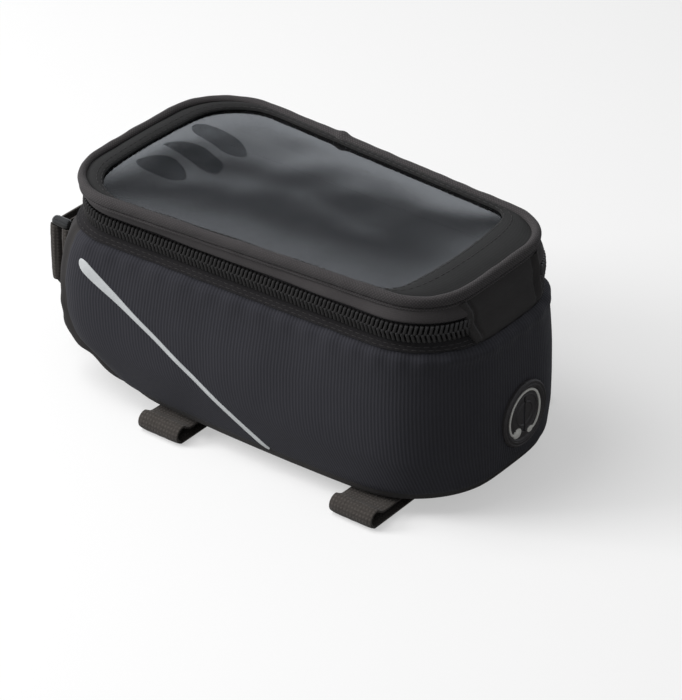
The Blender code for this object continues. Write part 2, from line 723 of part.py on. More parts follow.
def make_frame_strap(number, x, webbing, hook):
    """A closed loop of webbing sewn flat under the base, bulging out past both long sides."""
    top, low = BASE_Z - GAP - STRAP_THICK / 2, STRAP_THICK / 2
    high = STRAP_BULGE - STRAP_THICK / 2
    radius = (high - low) / 2
    centre = (STRAP_REACH - STRAP_THICK / 2 - radius, low + radius)
    rise = [(centre[0] - 2 * radius, top), (centre[0] - radius, top + STRAP_LIFT)]
    half = rise + arc_points(centre, radius, 110, -90, BEND_STEPS)
    loop = [Vector((x, y, z)) for y, z in half] + [Vector((x, -y, z)) for y, z in reversed(half)]
    strap_band(f"frame_strap_{number}", webbing, loop, STRAP_THICK, Vector((STRAP_WIDTH, 0, 0)), closed=True)
    floor, reach = STRAP_THICK + GAP, STRAP_WIDTH / 2 - HOOK_INSET
    low_corner = (x - reach, -HOOK_LENGTH / 2, floor)
    high_corner = (x + reach, HOOK_LENGTH / 2, floor + HOOK_THICK)
    add_object(f"frame_strap_hook_{number}", box_mesh(f"hook_{number}", low_corner, high_corner), hook)


def make_stem_strap(webbing, hook, plastic):
    """The stem strap runs from its seam on the strap end through a ring and back over itself."""
    across = Vector((0, 0, STEM_WIDTH))
    wrap, sewn, run = STEM_WRAP, STEM_SEWN_X, STEM_RUN_X
    ring_near, ring_far = RING_NEAR_X, RING_FAR_X
    tail = run - STEM_THICK - HOOK_THICK - 2 * GAP

    def at(points):
        return [Vector((x, y, STEM_Z)) for x, y in points]

    tab = [(sewn, TAB_SEWN_Y), (sewn, 3 * TAB_SEWN_Y)]
    tab += arc_points((ring_near, -STEM_HALF), wrap, 0, -180, BEND_STEPS)
    tab += [(ring_near - wrap, 3 * TAB_SEWN_Y), (sewn - STEM_THICK - GAP, 2 * TAB_SEWN_Y)]
    tab += [(sewn - STEM_THICK - GAP, TAB_SEWN_Y)]
    strap_band("stem_tab", webbing, at(tab), STEM_THICK, across)

    bend = STEM_HALF - STEM_SEWN
    path = [(sewn, STEM_HALF)]
    for k in range(BEND_STEPS + 1):
        share = k / BEND_STEPS
        path.append((sewn + (run - sewn) * share * share * (3 - 2 * share), bend - STEM_EASE * share))
    path += arc_points((ring_far, -STEM_HALF), wrap, 0, -180, BEND_STEPS)
    path += [(tail - STEM_THICK / 4, -STEM_HALF / 2), (tail, -STEM_HALF / 3), (tail, STEM_TAIL_Y)]
    strap_band("stem_strap", webbing, at(path), STEM_THICK, across)

    patch, half = run - STEM_THICK / 2 - GAP, STEM_WIDTH / 2 - HOOK_INSET
    low = (patch - HOOK_THICK, -STEM_HALF / 3, STEM_Z - half)
    high = (patch, bend - STEM_EASE, STEM_Z + half)
    add_object("stem_strap_hook", box_mesh("stem_strap_hook", low, high), hook)

    reach = STEM_WIDTH / 2 + GAP + RING_BAR
    corners = []
    for x, z, start in ((ring_near, 1, 0), (ring_far, 1, 90), (ring_far, -1, 180), (ring_near, -1, 270)):
        inward = RING_CORNER if x == ring_far else -RING_CORNER
        corners += arc_points((x + inward, z * (reach - RING_CORNER)), RING_CORNER, start, start + 90, 4)
    curve = bpy.data.curves.new("stem_ring", "CURVE")
    curve.dimensions = "3D"
    curve.bevel_depth = RING_BAR
    curve.bevel_resolution = 2
    spline = curve.splines.new("POLY")
    spline.points.add(len(corners) - 1)
    for point, (x, z) in zip(spline.points, corners):
        point.co = (x, -STEM_HALF, STEM_Z + z, 1.0)
    spline.use_cyclic_u = True
    add_object("stem_ring", curve, plastic)


def hang_on_hinge(pieces):
    """Parents pieces to an empty on the lid's hinge axis, and leaves them where they are."""
    hinge = bpy.data.objects.new("lid_hinge", None)
    hinge.location = (HINGE_X, 0, HINGE_Z)
    bag.objects.link(hinge)
    for piece in pieces:
        piece.parent = hinge
        piece.location -= hinge.location


def main():
    ribbed = material("ribbed_cloth", (0.030, 0.030, 0.036), 0.85)
    plain = material("plain_cloth", (0.022, 0.021, 0.021), 0.85)
    binding = material("binding_cloth", (0.032, 0.030, 0.029), 0.8)
    tape = material("tape_cloth", (0.02, 0.02, 0.02), 0.8)
    webbing = material("webbing", (0.085, 0.075, 0.068), 0.8)
    hook = material("hook_tape", (0.01, 0.01, 0.01), 0.9)
    nylon = material("nylon", (0.03, 0.03, 0.03), 0.4)
    metal = material("dark_metal", (0.12, 0.12, 0.12), 0.35, 1.0)
    plastic = material("black_plastic", (0.02, 0.02, 0.02), 0.25)
    rubber = material("rubber", (0.035, 0.033, 0.033), 0.6)
    film = material("clear_film", (0.8, 0.8, 0.8), 0.08, 0.0, 0.25)
    board = material("board", (0.3, 0.3, 0.3), 0.7)
    silver = material("reflective_tape", (0.6, 0.62, 0.63), 0.35)

    make_upper_zip(tape, nylon)
    make_lid(plain, binding, plain, film)
    hang_on_hinge([*bag.objects, *cutters.objects])
    make_shell(ribbed, plain, board)
    make_lower_zip(tape, nylon)
    make_slider(metal)
    make_port(rubber)
    make_stripe("reflective_stripe_right", silver, 1)
    make_stripe("reflective_stripe_left", silver, -1)
    for number, x in enumerate(STRAP_XS, start=1):
        make_frame_strap(number, x, webbing, hook)
    make_stem_strap(webbing, hook, plastic)
    for made in (*bag.objects, *cutters.objects):
        if made.parent is None:
            made.location.x -= MIDDLE_X


for old in list(bpy.data.objects):
    bpy.data.objects.remove(old)
bag = bpy.data.collections.new("handlebar_bag")
cutters = bpy.data.collections.new("cutters")
bpy.context.scene.collection.children.link(bag)
bpy.context.scene.collection.children.link(cutters)
main()
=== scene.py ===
import json
import math

import bmesh
import bpy
import numpy as np
from mathutils import Matrix, Vector, noise
from mathutils.geometry import convex_hull_2d


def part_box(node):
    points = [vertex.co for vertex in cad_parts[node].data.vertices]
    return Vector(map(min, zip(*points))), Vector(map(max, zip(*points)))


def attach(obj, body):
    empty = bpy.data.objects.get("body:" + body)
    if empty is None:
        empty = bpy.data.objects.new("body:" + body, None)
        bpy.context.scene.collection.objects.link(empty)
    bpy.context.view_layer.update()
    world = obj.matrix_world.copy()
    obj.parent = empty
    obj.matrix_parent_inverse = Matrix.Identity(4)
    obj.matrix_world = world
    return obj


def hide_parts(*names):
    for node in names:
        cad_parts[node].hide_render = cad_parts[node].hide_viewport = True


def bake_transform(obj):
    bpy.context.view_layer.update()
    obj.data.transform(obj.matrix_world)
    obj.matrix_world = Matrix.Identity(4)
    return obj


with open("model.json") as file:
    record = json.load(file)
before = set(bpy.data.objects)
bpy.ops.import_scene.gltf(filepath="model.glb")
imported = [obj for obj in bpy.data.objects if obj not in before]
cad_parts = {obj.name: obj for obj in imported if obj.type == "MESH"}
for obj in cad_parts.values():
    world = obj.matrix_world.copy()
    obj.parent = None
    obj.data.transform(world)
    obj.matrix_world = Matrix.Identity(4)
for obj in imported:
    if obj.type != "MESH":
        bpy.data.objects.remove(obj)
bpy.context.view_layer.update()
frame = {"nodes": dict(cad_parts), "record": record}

MM = 0.001
ZIP_Z = (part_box("lower_zip_teeth")[1][2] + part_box("upper_zip_teeth")[0][2]) / 2

# Camera: direction and distance of a long lens
AZIMUTH = 37.65
ELEVATION = 31.79
LENS = 172.58
CAMERA_PLACE = (709.95 * MM, -893.9 * MM, 728.8 * MM)

# Columns of the body's skin from the strap end's middle to the port end's, and of the lid's pieces.
# The strap end's seam lies at a share of them, forward of the solid's seam by a low and a high distance
HALF_COLUMNS = 280
MIDDLE = HALF_COLUMNS // 2
SEAM_SHARE = 0.165
SEAM_LOW = 9 * MM
SEAM_HIGH = 4 * MM
SEAM_RUN = 40 * MM
ROW_STEP = 1.1 * MM
SAME_LEVEL = 0.03 * MM
SHARP_ANGLE = math.radians(50)

# Cloth: its thickness, folds and ripples, the pinch at seams, the lip at the mouth, the loose gusset
CLOTH = 2.2 * MM
FOLD = 0.85 * MM
FOLD_SIZE = 42 * MM
RIPPLE = 0.22 * MM
RIPPLE_SIZE = 15 * MM
PINCH = 0.9 * MM
PINCH_WIDTH = 2.2 * MM
LIP = 1.4 * MM
LIP_FROM = 84 * MM
LIP_RUN = 12 * MM
GUSSET = 3.6 * MM
GUSSET_Z = 9 * MM

# Zip: how far the tapes tuck under the cloth, and the teeth
TAPE_TUCK = 1.8 * MM
TAPE_INSET = 1.5 * MM
TAPE_COLUMNS = 401
TAPE_STEP = 0.9 * MM
TAPE_THICK = 0.5 * MM
TOOTH_PITCH = 1.85 * MM
TOOTH_LEAN = 0.95 * MM
TOOTH_THICK = 0.7 * MM
TOOTH_MESH = 0.25 * MM
TOOTH_RINGS = ((0.0, 1.0), (0.1, 1.2), (0.5, 1.1), (0.78, 1.25), (0.94, 1.15), (1.0, 0.7))

# Stitches, their rings as share of the length, thickness and how deep they sink
STITCH = 2.4 * MM
STITCH_SPACE = 0.7 * MM
STITCH_THICK = 0.17 * MM
STITCH_PROUD = 0.05 * MM
STITCH_RINGS = ((0.0, 0.4, 0.8), (0.2, 1.0, 0.0), (0.8, 1.0, 0.0), (1.0, 0.4, 0.8))

# Weaves and webbing
RIB_PITCH = 1.45 * MM
WEAVE_PITCH = 0.55 * MM
KNOT_PITCH = 1.3 * MM
WEB_THICK = 1.3 * MM
WEB_RIB = 1.5 * MM
BAND_STEP = 0.3 * MM

# Binding: its rolled section in mm, as depth inward and height above its foot or below its top
BINDING_UNDER = ((1.3, 0.0), (0.55, 0.1), (0.4, 0.8), (0.95, 1.35), (0.2, 2.0))
BINDING_OVER = ((0.0, 1.9), (0.6, 0.5), (1.9, 0.0), (3.2, 0.5), (3.8, 1.6), (3.2, 2.5), (2.0, 3.0))
BINDING_LAP_X = -15 * MM

# Lid: its top as share of the way inward and rise in mm, its wall's hem as depth and rise in mm, the
# hinge cloth with its folded edges, the bowed film and the pocket's closed slot
LID_TOP_RISES = (
    (0.0, -0.9), (0.16, -0.4), (0.35, 0.35), (0.6, 0.5), (0.85, 0.3), (0.95, 0.05), (1.0, -0.5),
)
LID_HEM = ((1.2, 0.3), (0.3, -0.25), (-0.3, 0.5))
HINGE_COLUMNS = 97
HINGE_LAP = 1.2 * MM
HINGE_TUCK = 1.6 * MM
HINGE_BEND = 9 * MM
HINGE_FOLD = ((0.35, 0.5), (0.3, 1.3), (0.0, 3.2))
FILM_GRID = (141, 61)
FILM_BOW = 1.9 * MM
FILM_WAVE = 0.45 * MM
POCKET_THICK = 0.9 * MM
MOUTH_SLIT = 0.2 * MM

# Stripe, as in the solid
STRIPE_WIDE = 5.2 * MM
STRIPE_NARROW = 1.9 * MM
STRIPE_HEAD = 4.5 * MM
STRIPE_BLUNT = 0.15 * MM
STRIPE_TAPER = 22.0 * MM
STRIPE_GRID = (120, 7)

# Port: the headphone sign's arc and pads, as Y, Z and radius in mm, and the ridges' radii in mm
SIGN_THICK = 0.52 * MM
SIGN_ARC = (
    (-4.6, -7.0), (-7.8, -6.3), (-9.6, -3.0), (-9.8, 1.2), (-7.6, 6.2), (-3.0, 9.4), (2.6, 9.6),
    (7.4, 6.6), (9.7, 1.4), (9.6, -3.4), (8.0, -6.9), (5.8, -8.6), (3.9, -8.9),
)
SIGN_PADS = ((-4.6, -7.0, 2.1), (3.9, -8.9, 1.4))
PORT_RIDGES = (11.9, 13.2)

# Studio: what gloss mirrors, as height of the direction and strength; lamps as name, place, size and
# power; and the dark leaves that the film mirrors, as X, Y, length and width in mm, and angle
WORLD_LIGHT = 0.22
FLOOR_GLOW = 0.46
FLOOR_BOUNCE = 0.38
FLOOR_SIZE = 4.0
GLOSS_TINT = (0.9, 0.94, 1.0, 1)
GLOSS_LEVELS = ((0.36, 0.95), (0.51, 0.24), (0.68, 0.9))
LAMPS = (
    ("key", (-1.1, -0.85, 0.75), 0.6, 17.0),
    ("top", (-0.45, -0.35, 1.15), 0.8, 10.0),
)
CARD_REACH = 0.06
FINGERS = ((-79, -11, 36, 13, -15), (-83, 10, 52, 11, -20), (-88, 36, 58, 12, -27))


def node_points(*names, z=None):
    """The corner points of CAD nodes: all of them, or those at one height."""
    found = []
    for name in names:
        mesh = frame["nodes"][name].data
        flat = np.empty(len(mesh.vertices) * 3)
        mesh.vertices.foreach_get("co", flat)
        found.append(np.unique(np.round(flat.reshape(-1, 3), 7), axis=0))
    points = np.concatenate(found)
    return points if z is None else points[np.abs(points[:, 2] - z) < SAME_LEVEL]


def heights_of(name):
    return np.unique(np.round(node_points(name)[:, 2], 6))


def low_and_high(name):
    return [corner[2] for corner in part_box(name)]


def circle(count):
    return np.linspace(0, 2 * math.pi, count + 1)[:-1]


def bunched(count):
    """Numbers from -1 to 1 that lie closer together at the ends."""
    return np.sin(np.linspace(-math.pi / 2, math.pi / 2, count))


def hull_at(names, z):
    """The convex outline of CAD nodes at one height, as ordered X, Y pairs."""
    points = node_points(*names, z=z)[:, :2]
    return points[convex_hull_2d([Vector(p) for p in points])]


def lengths_along(path):
    steps = np.linalg.norm(np.diff(path, axis=0), axis=1)
    return np.concatenate([[0], np.cumsum(steps)])


def half_outline(names, z):
    """The -Y half of an outline at a height, strap end first, evenly spaced."""
    hull = hull_at(names, z)
    start, end = hull[:, 0].min(), hull[:, 0].max()
    hull = hull[hull[:, 1] < -1e-5]
    centre = (hull[:, 0].min() + hull[:, 0].max()) / 2
    turn = np.arctan2(hull[:, 1], hull[:, 0] - centre)
    path = np.vstack([(start, 0.0), hull[np.argsort(turn)], (end, 0.0)])
    lengths = lengths_along(path)
    even = np.linspace(0, lengths[-1], HALF_COLUMNS + 1)
    path = np.column_stack([np.interp(even, lengths, path[:, k]) for k in (0, 1)])
    for _ in range(12):
        mirrored = np.vstack([path[1] * (1, -1), path, path[-2] * (1, -1)])
        path = (mirrored[:-2] + 2 * mirrored[1:-1] + mirrored[2:]) / 4
    return path


def with_mark(path, mark, share, forward=0.0):
    """Respaces a half outline so that its point nearest to mark, or forward of it, falls at a share."""
    k = int(np.argmin(np.hypot(*(path - mark).T)))
    k += round(forward / np.hypot(*np.diff(path, axis=0).T).mean())
    here = np.arange(len(path)) / (len(path) - 1)
    place = np.interp(here, [0, share, 1], [0, k / (len(path) - 1), 1])
    return np.column_stack([np.interp(place, here, path[:, axis]) for axis in (0, 1)])


def whole(half):
    """A closed outline from its -Y half."""
    return np.vstack([half, half[-2:0:-1] * (1, -1)])


def unit(vectors):
    return vectors / np.maximum(np.linalg.norm(vectors, axis=-1), 1e-12)[..., None]


def steps_of(points, closed, axis=0):
    """The way from point to point along a line or one axis of a grid."""
    if closed:
        return np.roll(points, -1, axis=axis) - np.roll(points, 1, axis=axis)
    return np.gradient(points, axis=axis)


def inset(outline, depth):
    """A closed outline moved inward by a depth."""
    along = unit(steps_of(outline, True))
    return outline + np.column_stack([-along[:, 1], along[:, 0]]) * depth


def at_height(outline, z):
    return np.column_stack([outline, np.full(len(outline), z)])


def smooth_rows(rows, passes):
    """Rounds the profile of a stack of rows between its first and last row."""
    for _ in range(passes):
        rows[1:-1] = (rows[:-2] + 2 * rows[1:-1] + rows[2:]) / 4
    return rows


def fill_rows(levels, spacing):
    """Rows between levels, about a spacing apart."""
    rows = [levels[0]]
    for low, high in zip(levels, levels[1:]):
        span = np.linalg.norm(high - low, axis=1).mean()
        steps = max(1, round(span / spacing))
        rows += [low + (high - low) * k / steps for k in range(1, steps + 1)]
    return np.array(rows)


def normals_of(grid, closed=True):
    """Outward unit normals of a grid of points, rows by columns."""
    return unit(np.cross(steps_of(grid, closed, 1), steps_of(grid, False)))


def waves(points, size, seed):
    """Smooth noise between -1 and 1 at each point."""
    flat = points.reshape(-1, 3) / size + seed
    values = np.array([noise.noise(Vector(p)) for p in flat])
    return np.clip(values * 1.6, -1, 1).reshape(points.shape[:-1])


def new_object(name, data):
    made = bpy.data.objects.new(name, data)
    bpy.context.scene.collection.objects.link(made)
    return made


def add_piece(name, data, body, replaced, slot, finish):
    """Adds a piece that rides a body. Where body holds two bodies, the start and the end of a bend, the
    piece stays in place and rides neither.
    """
    piece = new_object(name, data)
    data.materials.append(finish)
    if isinstance(body, str):
        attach(piece, body)
    else:
        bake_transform(piece)
    if replaced:
        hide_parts(*replaced)


def face_outward(mesh):
    tidy = bmesh.new()
    tidy.from_mesh(mesh)
    bmesh.ops.recalc_face_normals(tidy, faces=tidy.faces)
    tidy.to_mesh(mesh)
    tidy.free()


def skin_mesh(name, section, closed, along, up, loop=True):
    """A mesh over rows of points.

    With closed, each row joins up with itself. With loop, the last row joins the first, as in a wall with
    two faces, and the ends of open rows are capped. The UV map holds the lengths along and up in metres.
    """
    rows, columns = section.shape[:2]
    wide = columns if closed else columns - 1
    high = rows if loop else rows - 1
    r, c = np.meshgrid(np.arange(high), np.arange(wide), indexing="ij")
    low, above = r * columns, (r + 1) % rows * columns
    beside = (c + 1) % columns
    faces = np.stack([low + c, low + beside, above + beside, above + c], -1).reshape(-1, 4).tolist()
    if closed:
        along = np.append(along, 2 * along[-1] - along[-2])
    up = np.append(up, 2 * up[-1] - up[-2])
    corners = ((0, 0), (1, 0), (1, 1), (0, 1))
    uv = np.stack([np.stack([along[c + x], up[r + y]], -1) for x, y in corners], 2).reshape(-1, 2)
    if loop and not closed:
        for column in (0, columns - 1):
            faces.append([row * columns + column for row in range(rows)])
            uv = np.vstack([uv, np.column_stack([np.full(rows, along[column]), up[:rows]])])
    mesh = bpy.data.meshes.new(name)
    mesh.from_pydata(section.reshape(-1, 3).tolist(), [], faces)
    layer = mesh.uv_layers.new(name="UVMap")
    layer.data.foreach_set("uv", np.ascontiguousarray(uv, dtype=np.float32).ravel())
    face_outward(mesh)
    mesh.shade_smooth()
    mesh.set_sharp_from_angle(angle=SHARP_ANGLE)
    return mesh


def add_skin(name, section, closed, along, up, *piece):
    """Adds a mesh over rows of points. The last values go to add_piece."""
    add_piece(name, skin_mesh(name, section, closed, along, up), *piece)


def both_faces(outer, inner, up, keep):
    """A section of outer rows and, going back, every few of the inner ones, with its heights."""
    return np.concatenate([outer, inner[::-keep]]), np.concatenate([up, up[::-keep]])


def add_wall(name, outer, along, up, thickness, keep, *piece):
    """Adds a wall of cloth from open rows of points, with fewer rows behind."""
    inner = outer - normals_of(outer, False) * thickness
    picked = list(range(0, len(inner), keep))
    if picked[-1] != len(inner) - 1:
        picked.append(len(inner) - 1)
    section = np.concatenate([outer, inner[picked][::-1]])
    add_skin(name, section, False, along, np.concatenate([up, up[picked][::-1]]), *piece)


def tube_faces(start, rings, around):
    """Faces of a capped tube whose corners are numbered from start, ring by ring."""
    faces = []
    last = start + (rings - 1) * around
    for low in range(start, last, around):
        for c in range(around):
            d = (c + 1) % around
            faces.append([low + c, low + d, low + around + d, low + around + c])
    return faces + [list(range(start, start + around)), list(range(last, last + around))]


def add_tubes(name, verts, faces, *piece):
    mesh = bpy.data.meshes.new(name)
    mesh.from_pydata(verts, [], faces)
    face_outward(mesh)
    mesh.shade_smooth()
    add_piece(name, mesh, *piece)


# Materials
def new_material(name, colour, roughness, **sockets):
    made = bpy.data.materials.new(name)
    made.use_nodes = True
    shader = made.node_tree.nodes["Principled BSDF"]
    shader.inputs["Base Color"].default_value = (*colour, 1)
    shader.inputs["Roughness"].default_value = roughness
    for socket, value in sockets.items():
        shader.inputs[socket.replace("_", " ")].default_value = value
    return made


class Nodes:
    """A new material, with short ways to add and join its shader nodes."""

    def __init__(self, *look, **sockets):
        self.made = new_material(*look, **sockets)
        tree = self.made.node_tree
        self.add, self.link = tree.nodes.new, tree.links.new
        self.shader = tree.nodes["Principled BSDF"]
        coords = self.add("ShaderNodeTexCoord")
        self.uv = coords.outputs["UV"]
        self.place = coords.outputs["Object"]
        split = self.add("ShaderNodeSeparateXYZ")
        self.link(self.uv, split.inputs[0])
        self.along, self.up = split.outputs[0], split.outputs[1]

    def math(self, operation, first, second=None):
        node = self.add("ShaderNodeMath")
        node.operation = operation
        for socket, value in zip(node.inputs, (first, second)):
            if value is None:
                continue
            if isinstance(value, (int, float)):
                socket.default_value = value
            else:
                self.link(value, socket)
        return node.outputs[0]

    def wave(self, source, pitch, shift=None):
        """A wave between 0 and 1 that repeats every pitch metres."""
        angle = self.math("MULTIPLY", source, 2 * math.pi / pitch)
        if shift is not None:
            angle = self.math("ADD", angle, shift)
        return self.math("ADD", self.math("MULTIPLY", self.math("SINE", angle), 0.5), 0.5)

    def noise(self, size, detail=3.0):
        node = self.add("ShaderNodeTexNoise")
        node.inputs["Scale"].default_value = 1 / size
        node.inputs["Detail"].default_value = detail
        self.link(self.place, node.inputs["Vector"])
        return node.outputs["Fac"]

    def mix(self, first, share, second, other):
        """Two values, each times its share, added up."""
        return self.math("ADD", self.math("MULTIPLY", first, share), self.math("MULTIPLY", second, other))

    def paint(self, source, colour, low, high):
        """Paints with a colour times low to high, as source runs from 0 to 1."""
        node = self.add("ShaderNodeMix")
        node.data_type = "RGBA"
        for socket, factor in (("A", low), ("B", high)):
            node.inputs[socket].default_value = (*(c * factor for c in colour), 1)
        self.link(source, node.inputs["Factor"])
        self.link(node.outputs["Result"], self.shader.inputs["Base Color"])

    def bump(self, source, depth, strength):
        node = self.add("ShaderNodeBump")
        node.inputs["Distance"].default_value = depth
        node.inputs["Strength"].default_value = strength
        self.link(source, node.inputs["Height"])
        self.link(node.outputs[0], self.shader.inputs["Normal"])


def ribbed_material():
    """Cloth with fine upright ribs, each crossed by a faint weave."""
    colour = (0.031, 0.031, 0.037)
    n = Nodes("ribbed_cloth", colour, 0.8, Specular_IOR_Level=0.18, Sheen_Weight=0.04)
    wander = n.math("MULTIPLY", n.noise(0.02, 2.0), 1.2)
    rib = n.wave(n.along, RIB_PITCH, wander)
    weave = n.wave(n.up, WEAVE_PITCH)
    fuzz = n.noise(0.5 * MM)
    height = n.math("ADD", n.mix(rib, 0.7, weave, 0.12), n.math("MULTIPLY", fuzz, 0.3))
    # Colour: painted shade in the rib grooves and lighter crests, mixed with a tone that varies at random
    n.paint(n.mix(rib, 0.6, n.noise(0.03), 0.4), colour, 0.7, 1.3)
    n.bump(height, 0.16 * MM, 0.8)
    return n.made


def cloth_material(name, colour, pitch=0.6 * MM, depth=0.1 * MM):
    """Plain weave, threads over and under."""
    n = Nodes(name, colour, 0.82, Specular_IOR_Level=0.18, Sheen_Weight=0.03)
    weave = n.math("MULTIPLY", n.wave(n.along, pitch), n.wave(n.up, pitch))
    fuzz = n.noise(0.45 * MM)
    n.paint(n.mix(n.noise(0.02), 0.6, fuzz, 0.4), colour, 0.7, 1.3)
    n.bump(n.mix(weave, 0.6, fuzz, 0.4), depth, 0.8)
    return n.made


def binding_material():
    """Knitted tape with small knots in offset rows, painted lighter on the knots with painted shade between
    them.
    """
    colour = (0.056, 0.052, 0.053)
    n = Nodes("binding_cloth", colour, 0.8, Specular_IOR_Level=0.2, Sheen_Weight=0.05)
    slant = n.math("ADD", n.along, n.up)
    other = n.math("SUBTRACT", n.along, n.up)
    knots = n.math("MULTIPLY", n.wave(slant, KNOT_PITCH), n.wave(other, KNOT_PITCH))
    fuzz = n.noise(0.55 * MM)
    height = n.mix(knots, 0.6, fuzz, 0.5)
    # Colour follows the height: painted light on the knots and painted shade between them, over random fuzz
    n.paint(height, colour, 0.5, 1.6)
    n.bump(height, 0.22 * MM, 0.9)
    return n.made


def webbing_material():
    """Webbing with a fuzzy looped face over its cross ribs, with painted shade in its hollows."""
    colour = (0.066, 0.059, 0.054)
    n = Nodes("webbing", colour, 0.85, Specular_IOR_Level=0.2, Sheen_Weight=0.08)
    fuzz = n.noise(0.6 * MM, 4.0)
    cross = n.math("MULTIPLY", n.wave(n.along, WEB_RIB), n.wave(n.up, WEB_RIB))
    height = n.mix(fuzz, 0.7, cross, 0.4)
    # Colour follows the height: painted shade between the cross ribs and lighter tops, over random fuzz
    n.paint(height, colour, 0.35, 1.5)
    n.bump(height, 0.3 * MM, 0.9)
    return n.made


def smooth_material(name, colour, roughness, grain=0.4 * MM, depth=0.02 * MM, **sockets):
    """Moulded or coated surface with a faint grain and a tone that varies a little at random."""
    n = Nodes(name, colour, roughness, **sockets)
    n.paint(n.noise(6 * MM), colour, 0.85, 1.15)
    n.bump(n.noise(grain), depth, 0.6)
    return n.made


def film_material():
    """Clear film, slightly uneven as rolled film is."""
    n = Nodes("clear_film", (0.9, 0.92, 0.94), 0.03, Transmission_Weight=1.0, IOR=1.5)
    n.bump(n.noise(0.045, 1.0), 0.3 * MM, 0.35)
    return n.made


RIBBED = ribbed_material()
PLAIN = cloth_material("plain_cloth", (0.037, 0.035, 0.035))
LID = cloth_material("lid_cloth", (0.054, 0.050, 0.051), 0.7 * MM)
LID_TOP = cloth_material("lid_top_cloth", (0.025, 0.025, 0.025), 0.6 * MM)
LINING = new_material("lining", (0.006, 0.006, 0.007), 0.9, Specular_IOR_Level=0.05)
BINDING = binding_material()
TAPE = cloth_material("zip_tape", (0.017, 0.016, 0.017), 0.5 * MM, 0.08 * MM)
WEBBING = webbing_material()
NYLON = smooth_material("nylon", (0.019, 0.018, 0.018), 0.45, Specular_IOR_Level=0.35)
METAL = smooth_material("dark_metal", (0.10, 0.10, 0.10), 0.35, Metallic=1.0)
PLASTIC = smooth_material("black_plastic", (0.018, 0.018, 0.018), 0.18)
RUBBER = smooth_material(
    "rubber", (0.030, 0.027, 0.028), 0.55, 0.7 * MM, 0.09 * MM, Specular_IOR_Level=0.35)
SILVER = smooth_material(
    "reflective_tape", (0.56, 0.58, 0.59), 0.42, 0.3 * MM, 0.04 * MM, Specular_IOR_Level=0.4)
HOOK = cloth_material("hook_tape", (0.014, 0.014, 0.014), 0.9 * MM, 0.4 * MM)
BOARD = smooth_material("board", (0.25, 0.25, 0.25), 0.6)
WHITE = smooth_material("white_print", (0.78, 0.78, 0.74), 0.5)
THREAD = smooth_material("thread", (0.033, 0.031, 0.031), 0.6, Specular_IOR_Level=0.3)
FILM = film_material()


def smooth_path(points, steps, closed=False):
    """A smooth line through points, steps pieces to each."""
    points = np.array(points, dtype=float)
    before, after = (points[-1:], points[:2]) if closed else (points[:1], points[-1:])
    padded = np.vstack([before, points, after])
    made = []
    for a, b, c, d in zip(padded, padded[1:], padded[2:], padded[3:]):
        for t in np.arange(steps) / steps:
            cubic = (2 * a - 5 * b + 4 * c - d) * t**2 + (3 * b - a - 3 * c + d) * t**3
            made.append(0.5 * (2 * b + (c - a) * t + cubic))
    if not closed:
        made.append(points[-1])
    return np.array(made)


def at_lengths(path, lengths, places):
    """Points of a path at given lengths along it."""
    return np.stack([np.interp(places, lengths, path[:, k]) for k in range(3)], -1)


def stitch_row(name, path, normal, body, closed=False, slot="plain_cloth", proud=STITCH_PROUD):
    """A row of stitches: short threads that dip into the cloth at both ends."""
    path = path + normal * proud
    if closed:
        path, normal = np.vstack([path, path[:1]]), np.vstack([normal, normal[:1]])
    lengths = lengths_along(path)
    count = max(1, int(lengths[-1] / (STITCH + STITCH_SPACE)))
    starts = np.arange(count) * lengths[-1] / count + STITCH_SPACE / 2
    turn = circle(6)
    verts = []
    for share, size, sink in STITCH_RINGS:
        places = starts + share * STITCH
        centre = at_lengths(path, lengths, places)
        ahead, behind = (at_lengths(path, lengths, places + step * MM) for step in (0.2, -0.2))
        up = at_lengths(normal, lengths, places)
        side = np.cross(up, unit(ahead - behind))
        centre = centre - up * sink * STITCH_THICK
        ring = np.cos(turn)[None, :, None] * side[:, None] + np.sin(turn)[None, :, None] * up[:, None]
        verts.append(centre[:, None] + ring * size * STITCH_THICK)
    verts = np.stack(verts, 1).reshape(-1, 3).tolist()
    faces = sum((tube_faces(24 * k, 4, 6) for k in range(count)), [])
    add_tubes(name, verts, faces, body, (), slot, THREAD)


# Skin of the body: one grid from the base's underside over the heel up to the mouth
def body_levels():
    """Outlines of the body at the CAD's own heights, with the strap end's seam at one column."""
    panels = ["side_panel", "strap_end_panel"]
    heights = heights_of("strap_end_panel")
    levels = []
    for z in heights:
        here = node_points("side_panel", z=z)
        here = here[here[:, 1] < 0]
        mark = here[np.argmin(here[:, 0])][:2]
        forward = SEAM_LOW + (SEAM_HIGH - SEAM_LOW) * min(1.0, (z - heights[0]) / SEAM_RUN)
        levels.append((z, with_mark(half_outline(panels, z), mark, SEAM_SHARE, forward)))
    return levels


levels = body_levels()
base_low, base_high = low_and_high("base_panel")
base_mark = levels[0][1][round(SEAM_SHARE * HALF_COLUMNS)]
base_half = with_mark(half_outline(["base_panel"], base_low), base_mark, SEAM_SHARE)
base_ring = whole(base_half)
mouth_z, mouth_half = levels[-1]
stack = [at_height(inset(base_ring, depth * MM), base_low) for depth in (26, 14, 5, 0.8)]
stack.append(at_height(inset(base_ring, -0.2 * MM), base_low + 0.7 * MM))
stack += [at_height(whole(half), z) for z, half in levels[:-1]]
stack.append(at_height(whole(mouth_half), mouth_z - 0.6 * MM))
stack.append(at_height(inset(whole(mouth_half), 0.9 * MM), mouth_z))
SKIN = smooth_rows(fill_rows(stack, ROW_STEP), 7)
NORMALS = normals_of(SKIN)
COLUMNS = SKIN.shape[1]
END_COLUMN = round(SEAM_SHARE * HALF_COLUMNS)
ALONG = lengths_along(SKIN[len(SKIN) // 2])
UP = lengths_along(SKIN[:, MIDDLE])


def dent(distance, width):
    """A soft groove: 1 at distance 0, falling to 0 past a few widths."""
    return np.exp(-(distance / width) ** 2)


